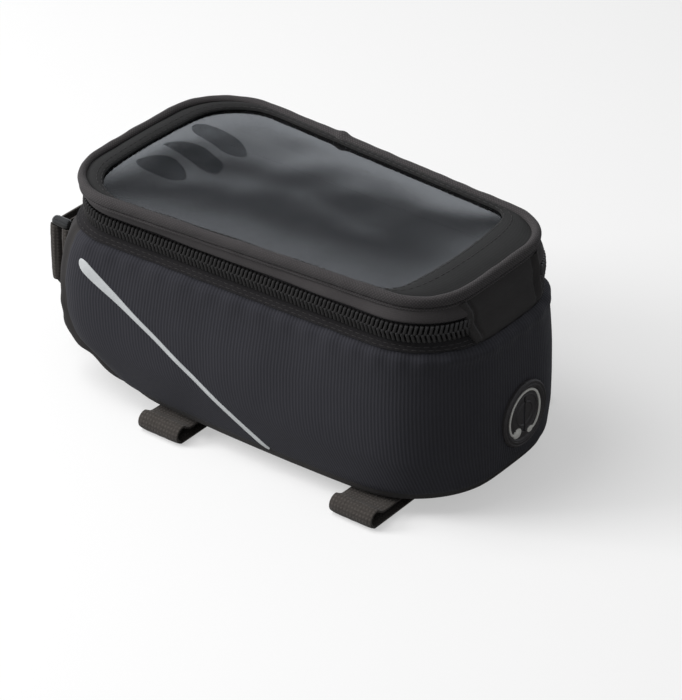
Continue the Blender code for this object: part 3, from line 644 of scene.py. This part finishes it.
def fold_skin():
    """Gentle folds, puckers along the seams, and gathers beside the strap end's seams."""
    z = SKIN[:, :, 2]
    top = mouth_z
    free = np.clip((z - base_high) / (14 * MM), 0, 1) * np.clip((top - z) / (10 * MM), 0, 1)
    depth = FOLD * waves(SKIN, FOLD_SIZE, 3.1) * free
    depth += RIPPLE * waves(SKIN * (1, 1, 0.45), RIPPLE_SIZE, 7.7) * (0.35 + 0.65 * free)
    pucker = np.sin(ALONG / (11 * MM) * 2 * math.pi + 3 * np.sin(ALONG / (37 * MM)))
    depth += 0.2 * MM * pucker[None, :] * dent(z - (top - 3 * MM), 5 * MM)
    depth -= PINCH * dent(z - top, PINCH_WIDTH)
    depth -= 0.5 * PINCH * dent(z - base_high, 1.4 * MM)
    port_end = np.clip((SKIN[:, :, 0] - LIP_FROM) / LIP_RUN, 0, 1)
    depth += LIP * port_end * dent(z - (top - 3.2 * MM), 3.0 * MM)
    low = np.clip((base_high + 42 * MM - z) / (30 * MM), 0, 1)
    for seam, way in ((END_COLUMN, -1), (COLUMNS - END_COLUMN, 1)):
        away = way * (ALONG - ALONG[seam])[None, :]
        depth -= PINCH * dent(away, 1.3 * MM)
        depth -= (0.9 + 1.0 * low) * MM * dent(away - 2.0 * MM, 1.5 * MM)
        depth += (0.6 + 0.6 * low) * MM * dent(away - 5.5 * MM, 2.8 * MM)
        gusset = GUSSET * dent(z - base_high - GUSSET_Z, 12 * MM) * dent(away - 11 * MM, 7.5 * MM)
        depth += gusset * (1 + 0.3 * waves(SKIN * (1, 1, 1.4), 11 * MM, 5.3))
        end = np.clip(away / (4 * MM), 0, 1) * np.clip((30 * MM - away) / (20 * MM), 0, 1)
        depth += 1.1 * MM * end * low * waves(SKIN * (1, 1, 1.6), 13 * MM, 4.4)
        depth += 0.35 * MM * dent(away + 5 * MM, 9 * MM) * free
    depth *= np.clip((z - base_low) / (3 * MM), 0, 1)
    return SKIN + NORMALS * depth[:, :, None]


SKIN = fold_skin()
seam_row = int(np.argmin(np.abs(SKIN[:, MIDDLE, 2] - (base_high + 0.15 * MM))))


def make_body():
    rows = slice(seam_row, len(SKIN))
    side = np.arange(END_COLUMN, COLUMNS - END_COLUMN + 1)
    end = np.arange(-END_COLUMN, END_COLUMN + 1)
    add_wall(
        "side_cover", SKIN[rows][:, side], ALONG[side], UP[rows], CLOTH, 6,
        "bag", ["side_panel"], "ribbed_cloth", RIBBED,
    )
    end_along = ALONG[end] - ALONG[-1] * (end < 0)
    add_wall(
        "strap_end_cover", SKIN[rows][:, end], end_along, UP[rows], CLOTH, 6,
        "bag", ["strap_end_panel"], "plain_cloth", PLAIN,
    )
    under = SKIN[:seam_row + 1]
    inner = under - normals_of(under) * CLOTH
    inner[:, :, 2] = np.maximum(inner[:, :, 2], base_low + CLOTH)
    section, heights = both_faces(under, inner, UP[:seam_row + 1], 3)
    mesh = skin_mesh("base_cover", section, True, ALONG, heights, loop=False)
    close_rings(mesh, COLUMNS, (0, len(section) - 1))
    add_piece("base_cover", mesh, "bag", ["base_panel"], "plain_cloth", PLAIN)


def close_rings(mesh, columns, rows):
    """Closes rings of a mesh with flat faces."""
    tidy = bmesh.new()
    tidy.from_mesh(mesh)
    tidy.verts.ensure_lookup_table()
    for row in rows:
        tidy.faces.new([tidy.verts[row * columns + k] for k in range(columns)])
    bmesh.ops.recalc_face_normals(tidy, faces=tidy.faces)
    tidy.to_mesh(mesh)
    tidy.free()


make_body()


# Lid: outlines read from the frame
rim_low, rim_high = low_and_high("lid_binding")
wall_low, wall_high = low_and_high("lid_wall")
hinge_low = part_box("hinge_panel")[0][2]
binding_heights = heights_of("lid_binding")
belly_z = binding_heights[np.argmin(np.abs(binding_heights - (rim_low + 1.2 * MM)))]
belly = half_outline(["lid_binding"], belly_z)
hinge_edge = node_points("hinge_panel", z=wall_high)
hinge_mark = hinge_edge[np.argmin(hinge_edge[:, 1])][:2]
HINGE_SHARE = np.argmin(np.hypot(*(belly - hinge_mark).T)) / HALF_COLUMNS
HINGE_COLUMN = round(HINGE_SHARE * HALF_COLUMNS)
BELLY = whole(belly)
LID_ALONG = lengths_along(BELLY)
window_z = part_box("window_film")[1][2]
WINDOW = whole(half_outline(["window_film"], window_z))
frame_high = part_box("lid_frame")[1][2]


def lid_outline(z):
    """The lid wall's outline at a height, with the hinge panel's edge at one column."""
    half = half_outline(["lid_wall", "hinge_panel"], z)
    here = node_points("hinge_panel", z=z)
    if not len(here):
        return whole(half)
    return whole(with_mark(half, here[np.argmin(here[:, 1])][:2], HINGE_SHARE))


def make_binding():
    """The rolled knitted binding round the lid's edge."""
    profile = [(depth, rim_low / MM + rise) for depth, rise in BINDING_UNDER]
    profile += [(depth, rim_high / MM - fall) for depth, fall in BINDING_OVER]
    profile = smooth_path(profile, 4, True) * MM
    rows = np.array([at_height(inset(BELLY, depth), z) for depth, z in profile])
    normal = normals_of(rows)
    bump = 0.16 * MM * waves(rows, 7 * MM, 1.3) + 0.25 * MM * waves(rows, 30 * MM, 5.1)
    lap = dent(rows[:, :, 0] - BINDING_LAP_X, 2.6 * MM) * (rows[:, :, 1] > 0)
    bump += 0.9 * MM * lap
    outer = normal[:, :, 2] > -0.5
    rows = rows + normal * (bump * outer)[:, :, None]
    add_skin(
        "binding_roll", rows, True, LID_ALONG, lengths_along(profile),
        "lid", ["lid_binding"], "binding_cloth", BINDING,
    )
    seam = at_height(inset(BELLY, 0.75 * MM), rim_low + 1.35 * MM)
    stitch_row("binding_stitches", seam, normal[16], "lid", True, "binding_cloth", 0)


def make_lid_top():
    """The cloth between binding and window, sewn down in two rows round the window's edge."""
    rim = inset(BELLY, 2.6 * MM)
    edge = inset(WINDOW, 1.7 * MM)
    top = [at_height(rim + (edge - rim) * s, frame_high + rise * MM) for s, rise in LID_TOP_RISES]
    grid = smooth_rows(fill_rows(top, 0.7 * MM), 2)
    grid[:, :, 2] += 0.15 * MM * waves(grid, 14 * MM, 9.4)
    normal = normals_of(grid)
    if normal[len(grid) // 2, 0, 2] < 0:
        normal = -normal
    section, heights = both_faces(grid, grid - (0, 0, 0.8 * MM), lengths_along(grid[:, 0]), 4)
    add_skin("lid_top", section, True, LID_ALONG, heights, "lid", ["lid_frame"], "lid_cloth", LID_TOP)
    for number, share in ((1, 0.9), (2, 0.72)):
        row = round(share * (len(grid) - 1))
        stitch_row(f"window_stitches_{number}", grid[row], normal[row], "lid", True, "lid_cloth")


def make_lid_wall():
    """The lid's side wall, from one edge of the hinge panel to the other."""
    low, high = lid_outline(wall_low), lid_outline(wall_high)
    turns = np.arange(HINGE_COLUMN, -HINGE_COLUMN - 1, -1)
    hem = [at_height(inset(low, depth * MM), wall_low + rise * MM) for depth, rise in LID_HEM]
    rows = smooth_rows(fill_rows(hem + [at_height(high, wall_high + 0.5 * MM)], 0.5 * MM), 2)
    middle = 0.3 * MM * np.sin(np.linspace(0, math.pi, len(rows)))[:, None]
    bump = 0.22 * MM * waves(rows, 16 * MM, 2.2) + middle
    rows = rows + normals_of(rows) * bump[:, :, None]
    wall = rows[:, turns]
    add_wall(
        "lid_wall_cloth", wall, lengths_along(wall[0]), lengths_along(rows[:, 0]), -1.6 * MM, 3,
        "lid", ["lid_wall"], "lid_cloth", LID,
    )


def hinge_line(z):
    """The hinge panel's outer line at a height, evenly spaced across the bag."""
    hull = hull_at(["hinge_panel"], z)
    outer = hull[hull[:, 0] > hull[:, 0].min() + 0.5 * MM]
    outer = outer[np.argsort(outer[:, 1])]
    even = np.linspace(outer[0, 1] - HINGE_LAP, outer[-1, 1] + HINGE_LAP, HINGE_COLUMNS)
    line = np.column_stack([np.interp(even, outer[:, 1], outer[:, 0]), even])
    return smooth_rows(line, 8)


def make_hinge():
    """The hinge panel: its upright edges are folded under and sewn over the ends of the zip."""
    heights = heights_of("hinge_panel")
    panel = [at_height(hinge_line(heights[0]), heights[0] - HINGE_TUCK) - (HINGE_TUCK, 0, 0)]
    panel += [at_height(hinge_line(z), z) for z in heights]
    panel[-1] = panel[-1] + (0, 0, 0.6 * MM)
    rows = smooth_rows(fill_rows(panel, 0.7 * MM), 4)
    middle = HINGE_COLUMNS // 2
    normal = normals_of(rows, False)
    if normal[len(rows) // 2, middle, 0] < 0:
        normal = -normal
    across = lengths_along(rows[0])
    reach = np.minimum(across, across[-1] - across)[None, :]
    share = np.linspace(0, 1, len(rows))[:, None]
    bump = 0.22 * MM * waves(rows, 18 * MM, 6.6)
    bump = bump + 1.1 * MM * dent(reach - 1.5 * MM, 1.1 * MM) - 0.7 * MM * dent(reach - 3.8 * MM, 0.8 * MM)
    bump = bump * np.clip((share - 0.1) / 0.2, 0, 1) - 1.2 * MM * dent(share - 0.1, 0.1)
    outer = rows + normal * bump[:, :, None]

    def fold(side, way):
        edge, back = outer[:, side], normal[:, side]
        return np.stack([edge + (0, way * out * MM, 0) - back * depth * MM for out, depth in HINGE_FOLD], 1)

    grid = np.concatenate([fold(0, -1)[:, ::-1], outer, fold(-1, 1)], axis=1)
    out = normals_of(grid, False)
    inner = grid - out * np.sign(out[:, middle:middle + 1, :1]) * 1.2 * MM
    section, up = both_faces(grid, inner, lengths_along(rows[:, middle]), 3)
    bend = ("bag", "lid", (0, 0, hinge_low), (0, 0, hinge_low + HINGE_BEND))
    add_skin(
        "hinge_cloth", section, False, lengths_along(grid[0]), up,
        bend, ["hinge_panel"], "plain_cloth", PLAIN,
    )
    for side, column in (("right", 9), ("left", -10)):
        stitch_row(f"hinge_stitches_{side}", outer[5:, column], normal[5:, column], bend)


def make_film():
    """Clear film in the window, bowed up a little and turned down to its seam."""
    start, end = WINDOW[:, 0].min(), WINDOW[:, 0].max()
    half = WINDOW[:HALF_COLUMNS + 1]
    columns, rows = FILM_GRID
    xs = (start + end) / 2 - np.cos(np.linspace(0, math.pi, columns)) * (end - start) / 2
    widths = np.interp(xs, half[:, 0], -half[:, 1])
    across = bunched(rows)
    x = np.repeat(xs[None, :], rows, 0)
    y = across[:, None] * widths[None, :]
    share = (2 * x - start - end) / (end - start)
    bow = (1 - np.abs(across[:, None]) ** 2.8) * (1 - np.abs(share) ** 6)
    flat = np.stack([x, y, np.zeros_like(x)], -1)
    uneven = FILM_WAVE * waves(flat * (0.7, 1, 1), 45 * MM, 2.9)
    uneven += 0.3 * FILM_WAVE * waves(flat, 20 * MM, 8.1)
    top = np.stack([x, y, window_z - 0.25 * MM + bow * (FILM_BOW + uneven)], -1)
    section = np.concatenate([top, (top - (0, 0, 0.3 * MM))[::-1]])
    up = np.linspace(0, 0.1, len(section))
    add_skin("film", section, False, xs, up, "lid", ["window_film"], "clear_film", FILM)


def make_pocket():
    """The cloth pocket under the film. The slot in its floor lies closed while nothing is in it."""
    low, high = low_and_high("phone_pocket")
    brim, floor = (whole(half_outline(["phone_pocket"], z)) for z in (high, low))
    openings = frame["record"]["physics"]["openings"]
    start, end = next(np.array(o["box_m"]) for o in openings if o["name"] == "pocket_mouth")
    size = np.array([(end[0] - start[0]) / 2, MOUTH_SLIT / 2])
    pull = (floor - floor.mean(axis=0)) / (np.ptp(floor, axis=0) / 2)
    slot = (start + end)[:2] / 2 + size * np.clip(pull * 1.5, -1, 1)
    thick = POCKET_THICK
    outer = [
        at_height(brim, high), at_height(floor, low + 2 * MM),
        at_height(inset(floor, 1.5 * MM), low), at_height(slot, low),
    ]
    inner = [
        at_height(slot, low + thick), at_height(inset(floor, 2.4 * MM), low + thick),
        at_height(inset(floor, thick), low + 2.5 * MM), at_height(inset(brim, thick), high),
    ]
    rows = np.concatenate([smooth_rows(fill_rows(face, 2 * MM), 2) for face in (outer, inner)])
    up = np.linspace(0, 0.1, len(rows))
    add_skin("pocket_cloth", rows, True, LID_ALONG, up, "lid", ["phone_pocket"], "lid_cloth", LINING)


make_binding()
make_lid_top()
make_lid_wall()
make_hinge()
make_film()
make_pocket()


# Zip
def open_path(node, z):
    """A tape's line at a height, from its -Y end round the strap end to its +Y end."""
    half = half_outline([node], z)
    last = node_points(node, z=z)[:, 0].max()
    first = half[:np.argmax(half[:, 0] > last - 0.2 * MM) + 1]
    return np.vstack([first[::-1], first[1:] * (1, -1)])


def tape_piece(name, node, body):
    """A woven tape from its sewn edge to the zip's middle line. The lower one shows its stitches."""
    heights = heights_of(node)
    up_way = 1 if heights[0] < ZIP_Z - 5 * MM else -1
    rows = []
    for z in heights[::up_way]:
        path = at_height(open_path(node, z), z)
        lengths = lengths_along(path)
        rows.append(at_lengths(path, lengths, np.linspace(0, 1, TAPE_COLUMNS) * lengths[-1]))
    along = unit(steps_of(rows[0][:, :2], False))
    fall = np.full(len(along), -up_way * TAPE_TUCK / TAPE_INSET)
    rows.insert(0, rows[0] + np.column_stack([along[:, 1], -along[:, 0], fall]) * TAPE_INSET)
    rows.append(rows[-1] * (1, 1, 0) + (0, 0, ZIP_Z - up_way * 0.1 * MM))
    grid = fill_rows(rows, TAPE_STEP)[::up_way]
    normal = -normals_of(grid, False)
    grid = grid + normal * (0.16 * MM * waves(grid, 9 * MM, 6.1))[:, :, None]
    add_wall(
        name, grid, lengths_along(grid[0]), lengths_along(grid[:, TAPE_COLUMNS // 2]), -TAPE_THICK, 2,
        body, [node], "zip_tape", TAPE,
    )
    if up_way > 0:
        for number, row in ((1, 4), (2, 6)):
            stitch_row(f"{name}_stitches_{number}", grid[row], normal[row], body, False, "zip_tape")


def teeth_piece(name, node, body, seam_z, free_z, shift):
    """One row of teeth: round bars, fatter at the free end, that lean along the zip like half a chevron."""
    path = open_path("lower_zip_tape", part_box("lower_zip_tape")[1][2])
    lengths = lengths_along(path)
    verts, faces = [], []
    for k in range(int(lengths[-1] / TOOTH_PITCH) - 1):
        far = (k + 0.5 + shift) * TOOTH_PITCH
        x, y = (np.interp(far, lengths, path[:, axis]) for axis in (0, 1))
        x2, y2 = (np.interp(far + MM, lengths, path[:, axis]) for axis in (0, 1))
        along = Vector((x2 - x, y2 - y, 0)).normalized()
        out = Vector((-along.y, along.x, 0))
        foot = Vector((x, y, seam_z)) + out * 0.9 * MM
        tip = Vector((x, y, free_z)) + out * 1.15 * MM + along * TOOTH_LEAN
        faces += tube_faces(len(verts), len(TOOTH_RINGS), 8)
        for share, size in TOOTH_RINGS:
            for turn in circle(8):
                place = foot + (tip - foot) * share + along * (size * math.cos(turn)) * TOOTH_THICK
                verts.append(place + out * (size * math.sin(turn)) * TOOTH_THICK * 1.15)
    add_tubes(name, verts, faces, body, [node], "nylon", NYLON)


tape_piece("lower_tape_cloth", "lower_zip_tape", "bag")
tape_piece("upper_tape_cloth", "upper_zip_tape", "lid")
zip_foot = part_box("lower_zip_teeth")[0][2]
zip_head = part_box("upper_zip_teeth")[1][2]
teeth_piece("lower_teeth", "lower_zip_teeth", "bag", zip_foot, ZIP_Z + TOOTH_MESH, 0.5)
teeth_piece("upper_teeth", "upper_zip_teeth", "lid", zip_head, ZIP_Z - TOOTH_MESH, 0.0)


# Stripe, port and straps
def skin_point(x, z, side, proud):
    """The body's skin on one long side at X and a height, moved outward."""
    row = np.interp(z, SKIN[seam_row:, MIDDLE, 2], np.arange(seam_row, len(SKIN)))
    low, share = int(row), row - int(row)
    columns = np.arange(END_COLUMN - 8, round(0.8 * HALF_COLUMNS))
    if side > 0:
        columns = COLUMNS - columns
    line, above = SKIN[low, columns], SKIN[min(low + 1, len(SKIN) - 1), columns]
    line = line + (above - line) * share
    place = np.interp(x, line[:, 0], np.arange(len(line)))
    k = min(int(place), len(line) - 2)
    point = line[k] + (line[k + 1] - line[k]) * (place - k)
    return point + NORMALS[low, columns[k]] * proud


def stripe_edges(distance):
    """The stripe's lower and upper edge, from its middle line, at a distance from its head's end."""
    head = math.sqrt(1 - max(0.0, 1 - (distance + STRIPE_BLUNT) / STRIPE_HEAD) ** 2)
    leaf = (STRIPE_WIDE - STRIPE_NARROW) * math.exp(-(distance / STRIPE_TAPER) ** 2)
    return -head * (STRIPE_NARROW / 2 + 0.7 * leaf), head * (STRIPE_NARROW / 2 + 0.3 * leaf)


def make_stripe(name, node, side):
    """A leaf-headed stripe of reflective tape, slanting down a long side."""
    low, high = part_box(node)
    top = np.array([low[0], high[2]]) + (0.9 * MM, -0.9 * MM)
    foot = np.array([high[0], low[2]]) + (-0.6 * MM, 0.7 * MM)
    run = foot - top
    across = np.array([-run[1], run[0]]) / np.linalg.norm(run)
    steps, over = STRIPE_GRID
    top_face, low_face = [], []
    for j in range(over):
        edge = j / (over - 1)
        spots = []
        for k in range(steps + 1):
            s = (k / steps) ** 1.7
            below, above = stripe_edges(s * np.linalg.norm(run))
            spots.append(top + run * s + across * (below + (above - below) * edge))
        proud = (0.42 - 0.12 * abs(2 * edge - 1) ** 4) * MM
        top_face.append([skin_point(x, z, side, proud) for x, z in spots])
        low_face.append([skin_point(x, z, side, 0.05 * MM) for x, z in spots])
    section = np.array(top_face + low_face[::-1])
    along, up = np.linspace(0, 0.12, steps + 1), np.linspace(0, 0.01, len(section))
    add_skin(name, section, False, along, up, "bag", [node], "reflective_tape", SILVER)


make_stripe("stripe_right", "reflective_stripe_left", -1)
make_stripe("stripe_left", "reflective_stripe_right", 1)


def make_port_sign():
    """A plain headphone sign in the port's rubber, with concentric ridges round it."""
    low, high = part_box("port_grommet")
    centre = Vector((high[0] - 0.55 * MM, (low[1] + high[1]) / 2, (low[2] + high[2]) / 2))
    curve = bpy.data.curves.new("port_sign", "CURVE")
    curve.dimensions = "3D"
    curve.bevel_depth = SIGN_THICK
    curve.bevel_resolution = 3
    curve.use_fill_caps = True
    route = smooth_path(SIGN_ARC, 6) * MM
    arc = curve.splines.new("POLY")
    arc.points.add(len(route) - 1)
    for point, (y, z) in zip(arc.points, route):
        point.co = (*(centre + Vector((0, y, z))), 1)
    add_piece("port_sign_arc", curve, "bag", (), "rubber", WHITE)
    for number, (y, z, size) in enumerate(SIGN_PADS):
        bm = bmesh.new()
        bmesh.ops.create_uvsphere(bm, u_segments=24, v_segments=14, radius=size * MM)
        for vert in bm.verts:
            vert.co = (vert.co.x * 0.35, vert.co.y * 1.25, vert.co.z)
        mesh = bpy.data.meshes.new(f"port_sign_pad_{number + 1}")
        bm.to_mesh(mesh)
        bm.free()
        mesh.shade_smooth()
        mesh.transform(Matrix.Translation(centre + Vector((0, y * MM, z * MM))))
        add_piece(mesh.name, mesh, "bag", (), "rubber", WHITE)
    turn = circle(96)
    for number, radius in enumerate(PORT_RIDGES):
        ring = []
        for a in circle(8):
            reach = (radius + 0.42 * math.cos(a)) * MM
            x = np.full(len(turn), high[0] - 0.15 * MM + 0.42 * math.sin(a) * MM)
            ring.append(np.stack([x, centre.y + reach * np.cos(turn), centre.z + reach * np.sin(turn)], -1))
        name = f"port_ridge_{number + 1}"
        add_skin(name, np.array(ring), True, turn, np.arange(8.0), "bag", (), "rubber", RUBBER)


make_port_sign()


def band_piece(name, path, across, closed, node):
    """A band of ribbed webbing along a path, with thin soft edges."""
    loop = np.vstack([path, path[:1]]) if closed else path
    lengths = lengths_along(loop)
    count = int(lengths[-1] / BAND_STEP)
    even = np.arange(count + (0 if closed else 1)) * lengths[-1] / count
    line = at_lengths(loop, lengths, even)
    along = unit(steps_of(line, closed))
    across = np.array(across)
    width = np.linalg.norm(across)
    normal = np.cross(along, across / width)
    section = []
    sides = bunched(15)
    for face in (1, -1):
        sway = 0.25 * MM * np.sin(even / (13 * MM) + face)
        for side in sides[::face]:
            rib = 0.07 * MM * np.sin(2 * math.pi * even / WEB_RIB + side * 1.5)
            weft = 0.05 * MM * math.cos(side * width / WEB_RIB * math.pi)
            half = WEB_THICK / 2 * (1 - 0.45 * abs(side) ** 8) + (rib + weft) * (1 - side**6)
            place = line + normal * (face * half)[:, None] + across * side / 2
            section.append(place + normal * sway[:, None] * 0.2)
    section = np.array(section)
    up = lengths_along(section[:, 0])
    add_skin(name, section, closed, even, up, "bag", [node], "webbing", WEBBING)


def turned_bar(name, start, end, y, z, radius, *piece):
    """A round bar with rounded ends along X."""
    shares = bunched(17) / 2 + 0.5
    turn = circle(24)
    size = radius * (1 - np.abs(2 * shares - 1) ** 6) ** 0.5
    x = start + (end - start) * shares
    rows = [np.stack([x, y + size * math.cos(a), z + size * math.sin(a)], -1) for a in turn]
    add_skin(name, np.array(rows), False, shares, turn, *piece)


def make_frame_strap(number):
    """A loop of webbing under the base."""
    node = f"frame_strap_{number}"
    low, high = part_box(node)
    top, floor = base_low - 0.3 * MM - WEB_THICK / 2, WEB_THICK / 2
    radius = (high[2] - WEB_THICK) / 2
    centre = (high[1] - WEB_THICK / 2 - radius, floor + radius)
    half = [(y * centre[0], top) for y in (0.2, 0.4, 0.6)]
    half += [(centre[0] - 2 * radius, top), (centre[0] - radius, top + 0.6 * MM)]
    for angle in range(105, -91, -15):
        turn = math.radians(angle)
        half.append((centre[0] + radius * math.cos(turn), centre[1] + radius * math.sin(turn)))
    half += [(y * centre[0], floor) for y in (0.8, 0.6, 0.4, 0.2)]
    loop = half + [(-y, z) for y, z in reversed(half)]
    path = smooth_path([((low[0] + high[0]) / 2, y, z) for y, z in loop], 3, True)
    band_piece(f"frame_webbing_{number}", path, (high[0] - low[0], 0, 0), True, node)


def make_stem_strap():
    """The stem strap, and the tab that holds its ring with the ring's round bar."""
    tab_low, tab_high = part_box("stem_tab")
    strap_low, strap_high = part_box("stem_strap")
    ring_low, ring_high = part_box("stem_ring")
    bar = (ring_high[1] - ring_low[1]) / 2
    ring_y = (ring_high[1] + ring_low[1]) / 2
    wrap = bar + 0.3 * MM + WEB_THICK / 2
    sewn = tab_high[0] - WEB_THICK / 2
    near, far = ring_high[0] - bar, ring_low[0] + bar
    middle = (tab_low[2] + tab_high[2]) / 2
    across = (0, 0, tab_high[2] - tab_low[2])

    def round_bar(x):
        turns = np.radians(np.arange(0, -181, -20))
        return [(x + wrap * math.cos(a), ring_y + wrap * math.sin(a)) for a in turns]

    def band(name, route, node):
        path = smooth_path([(x, y, middle) for x, y in route], 4)
        band_piece(name, path, across, False, node)

    under = sewn - WEB_THICK - 0.3 * MM
    tab = [(sewn, tab_high[1]), (sewn, tab_high[1] - 8 * MM), (sewn, ring_y + 5 * MM)] + round_bar(near)
    tab += [(near - wrap, ring_y + 5 * MM), (under - 0.3 * MM, ring_y + 13 * MM), (under, tab_high[1])]
    band("stem_tab_webbing", tab, "stem_tab")

    start, end = ring_low[0] - 0.4 * MM, ring_high[0] + 0.4 * MM
    roller = (start, end, ring_y, ring_high[2] - bar, 2.3 * MM)
    turned_bar("stem_ring_roller", *roller, "bag", (), "black_plastic", PLASTIC)

    run = far + wrap
    strap = [(sewn, strap_high[1] - fall * MM) for fall in (0, 5, 12)]
    for s, t in ((0.1, 0.2), (0.5, 0.5), (0.9, 0.8)):
        strap.append((sewn + (run - sewn) * s, strap_high[1] - (13 + 12 * t) * MM))
    strap += [(run, 0.0), (run, ring_y + 14 * MM), (run, ring_y + 6 * MM)] + round_bar(far)
    tail = strap_low[0] + WEB_THICK / 2
    strap += [(tail, ring_y + 9 * MM), (tail, ring_y + 18 * MM), (tail, 9 * MM)]
    band("stem_strap_webbing", strap, "stem_strap")


make_frame_strap(1)
make_frame_strap(2)
make_stem_strap()

# Finishes for the CAD nodes whose shape is right
FINISHES = (
    (BOARD, ["base_board"]), (METAL, ["zip_slider", "zip_pull"]), (RUBBER, ["port_grommet"]),
    (PLASTIC, ["port_washer", "stem_ring"]),
    (HOOK, ["frame_strap_hook_1", "frame_strap_hook_2", "stem_strap_hook"]),
)
for finish, nodes in FINISHES:
    for node in nodes:
        painted = frame["nodes"][node].data.materials
        painted.clear()
        painted.append(finish)

# Studio: a white floor, soft lamps, and a white surrounding that only the camera and gloss see
CARD = new_material("card_paint", (0.01, 0.01, 0.01), 1.0, Specular_IOR_Level=0.0)


def finger_card(number, x, y, length, width, angle):
    """A small dark card over the window, placed where the film mirrors it as a leaf at X, Y."""
    eye = Vector(CAMERA_PLACE)
    turned = Matrix.Rotation(math.radians(angle), 3, "Z")
    verts = []
    for turn in circle(24):
        out = length / 2 * (1 - math.cos(turn))
        side = width / 2 * math.sin(turn) * (1.15 - 0.35 * math.cos(turn)) / 1.15
        place = Vector((x, y, window_z)) + turned @ Vector((out, side, 0))
        ray = (place - eye).normalized()
        ray.z = -ray.z
        verts.append(place + ray * CARD_REACH)
    mesh = bpy.data.meshes.new(f"card_{number}")
    mesh.from_pydata(verts, [], [list(range(len(verts)))])
    mesh.materials.append(CARD)
    card = new_object(f"card_{number}", mesh)
    card.visible_camera = False
    card.visible_diffuse = False
    card.visible_shadow = False
    card.visible_transmission = False


def mix_shaders(tree, factor, first, second):
    """The first shader where the factor is 0 and the second where it is 1."""
    mix = tree.nodes.new("ShaderNodeMixShader")
    if isinstance(factor, float):
        mix.inputs[0].default_value = factor
    else:
        tree.links.new(factor, mix.inputs[0])
    tree.links.new(first, mix.inputs[1])
    tree.links.new(second, mix.inputs[2])
    return mix.outputs[0]


bm = bmesh.new()
bmesh.ops.create_grid(bm, x_segments=1, y_segments=1, size=FLOOR_SIZE)
mesh = bpy.data.meshes.new("floor")
bm.to_mesh(mesh)
bm.free()
floor = new_object("floor", mesh)
paint = new_material("floor_paint", (0.93, 0.93, 0.93), 0.9, Specular_IOR_Level=0.0)
tree = paint.node_tree
rays = tree.nodes.new("ShaderNodeLightPath").outputs
glow = tree.nodes.new("ShaderNodeEmission")
seen = mix_shaders(tree, FLOOR_GLOW, tree.nodes["Principled BSDF"].outputs[0], glow.outputs[0])
bounce = tree.nodes.new("ShaderNodeBsdfDiffuse")
bounce.inputs["Color"].default_value = (FLOOR_BOUNCE, FLOOR_BOUNCE, FLOOR_BOUNCE, 1)
surface = mix_shaders(tree, rays["Is Camera Ray"], bounce.outputs[0], seen)
tree.links.new(surface, tree.nodes["Material Output"].inputs[0])
mesh.materials.append(paint)

# The world is white to the camera and through glass, and to gloss white with a grey band half way up
world = bpy.context.scene.world or bpy.data.worlds.new("world")
bpy.context.scene.world = world
world.use_nodes = True
tree = world.node_tree
tree.nodes.clear()
add, link = tree.nodes.new, tree.links.new
out = add("ShaderNodeOutputWorld")
rays = add("ShaderNodeLightPath").outputs
coords = add("ShaderNodeTexCoord")
split = add("ShaderNodeSeparateXYZ")
link(coords.outputs["Generated"], split.inputs[0])
fall = add("ShaderNodeValToRGB")
fall.color_ramp.interpolation = "EASE"
stops = fall.color_ramp.elements
stops[0].position, stops[1].position = GLOSS_LEVELS[0][0], GLOSS_LEVELS[2][0]
stops.new(GLOSS_LEVELS[1][0])
for stop, (_, level) in zip(stops, GLOSS_LEVELS):
    stop.color = (level, level, level, 1)
link(split.outputs[2], fall.inputs[0])
shaders = []
for tint, strength in (((1, 1, 1, 1), WORLD_LIGHT), ((1, 1, 1, 1), 1.0), (GLOSS_TINT, 1.0)):
    node = add("ShaderNodeBackground")
    node.inputs[0].default_value = tint
    node.inputs[1].default_value = strength
    shaders.append(node)
light, white, gloss = shaders
link(fall.outputs[0], gloss.inputs[1])
seen = add("ShaderNodeMath")
seen.operation = "MAXIMUM"
link(rays["Is Camera Ray"], seen.inputs[0])
link(rays["Is Transmission Ray"], seen.inputs[1])
backdrop = mix_shaders(tree, seen.outputs[0], light.outputs[0], white.outputs[0])
surround = mix_shaders(tree, rays["Is Glossy Ray"], backdrop, gloss.outputs[0])
link(surround, out.inputs[0])

for name, place, size, power in LAMPS:
    lamp = bpy.data.lights.new(name, "AREA")
    lamp.shape = "SQUARE"
    lamp.size = size
    lamp.energy = power
    holder = new_object(name, lamp)
    holder.location = place
    holder.rotation_euler = (-Vector(place)).to_track_quat("-Z", "Y").to_euler()
    holder.visible_glossy = False

for number, (x, y, length, width, angle) in enumerate(FINGERS):
    finger_card(number + 1, x * MM, y * MM, length * MM, width * MM, angle)

camera = bpy.data.cameras.new("camera")
camera.lens = LENS
camera.sensor_width = 36
camera.clip_end = 20
holder = new_object("camera", camera)
azimuth, elevation = math.radians(AZIMUTH), math.radians(ELEVATION)
level = math.cos(elevation)
back = Vector((math.sin(azimuth) * level, -math.cos(azimuth) * level, math.sin(elevation)))
holder.location = CAMERA_PLACE
holder.rotation_euler = back.to_track_quat("Z", "Y").to_euler()
bpy.context.scene.camera = holder
bpy.context.scene.view_settings.view_transform = "Standard"
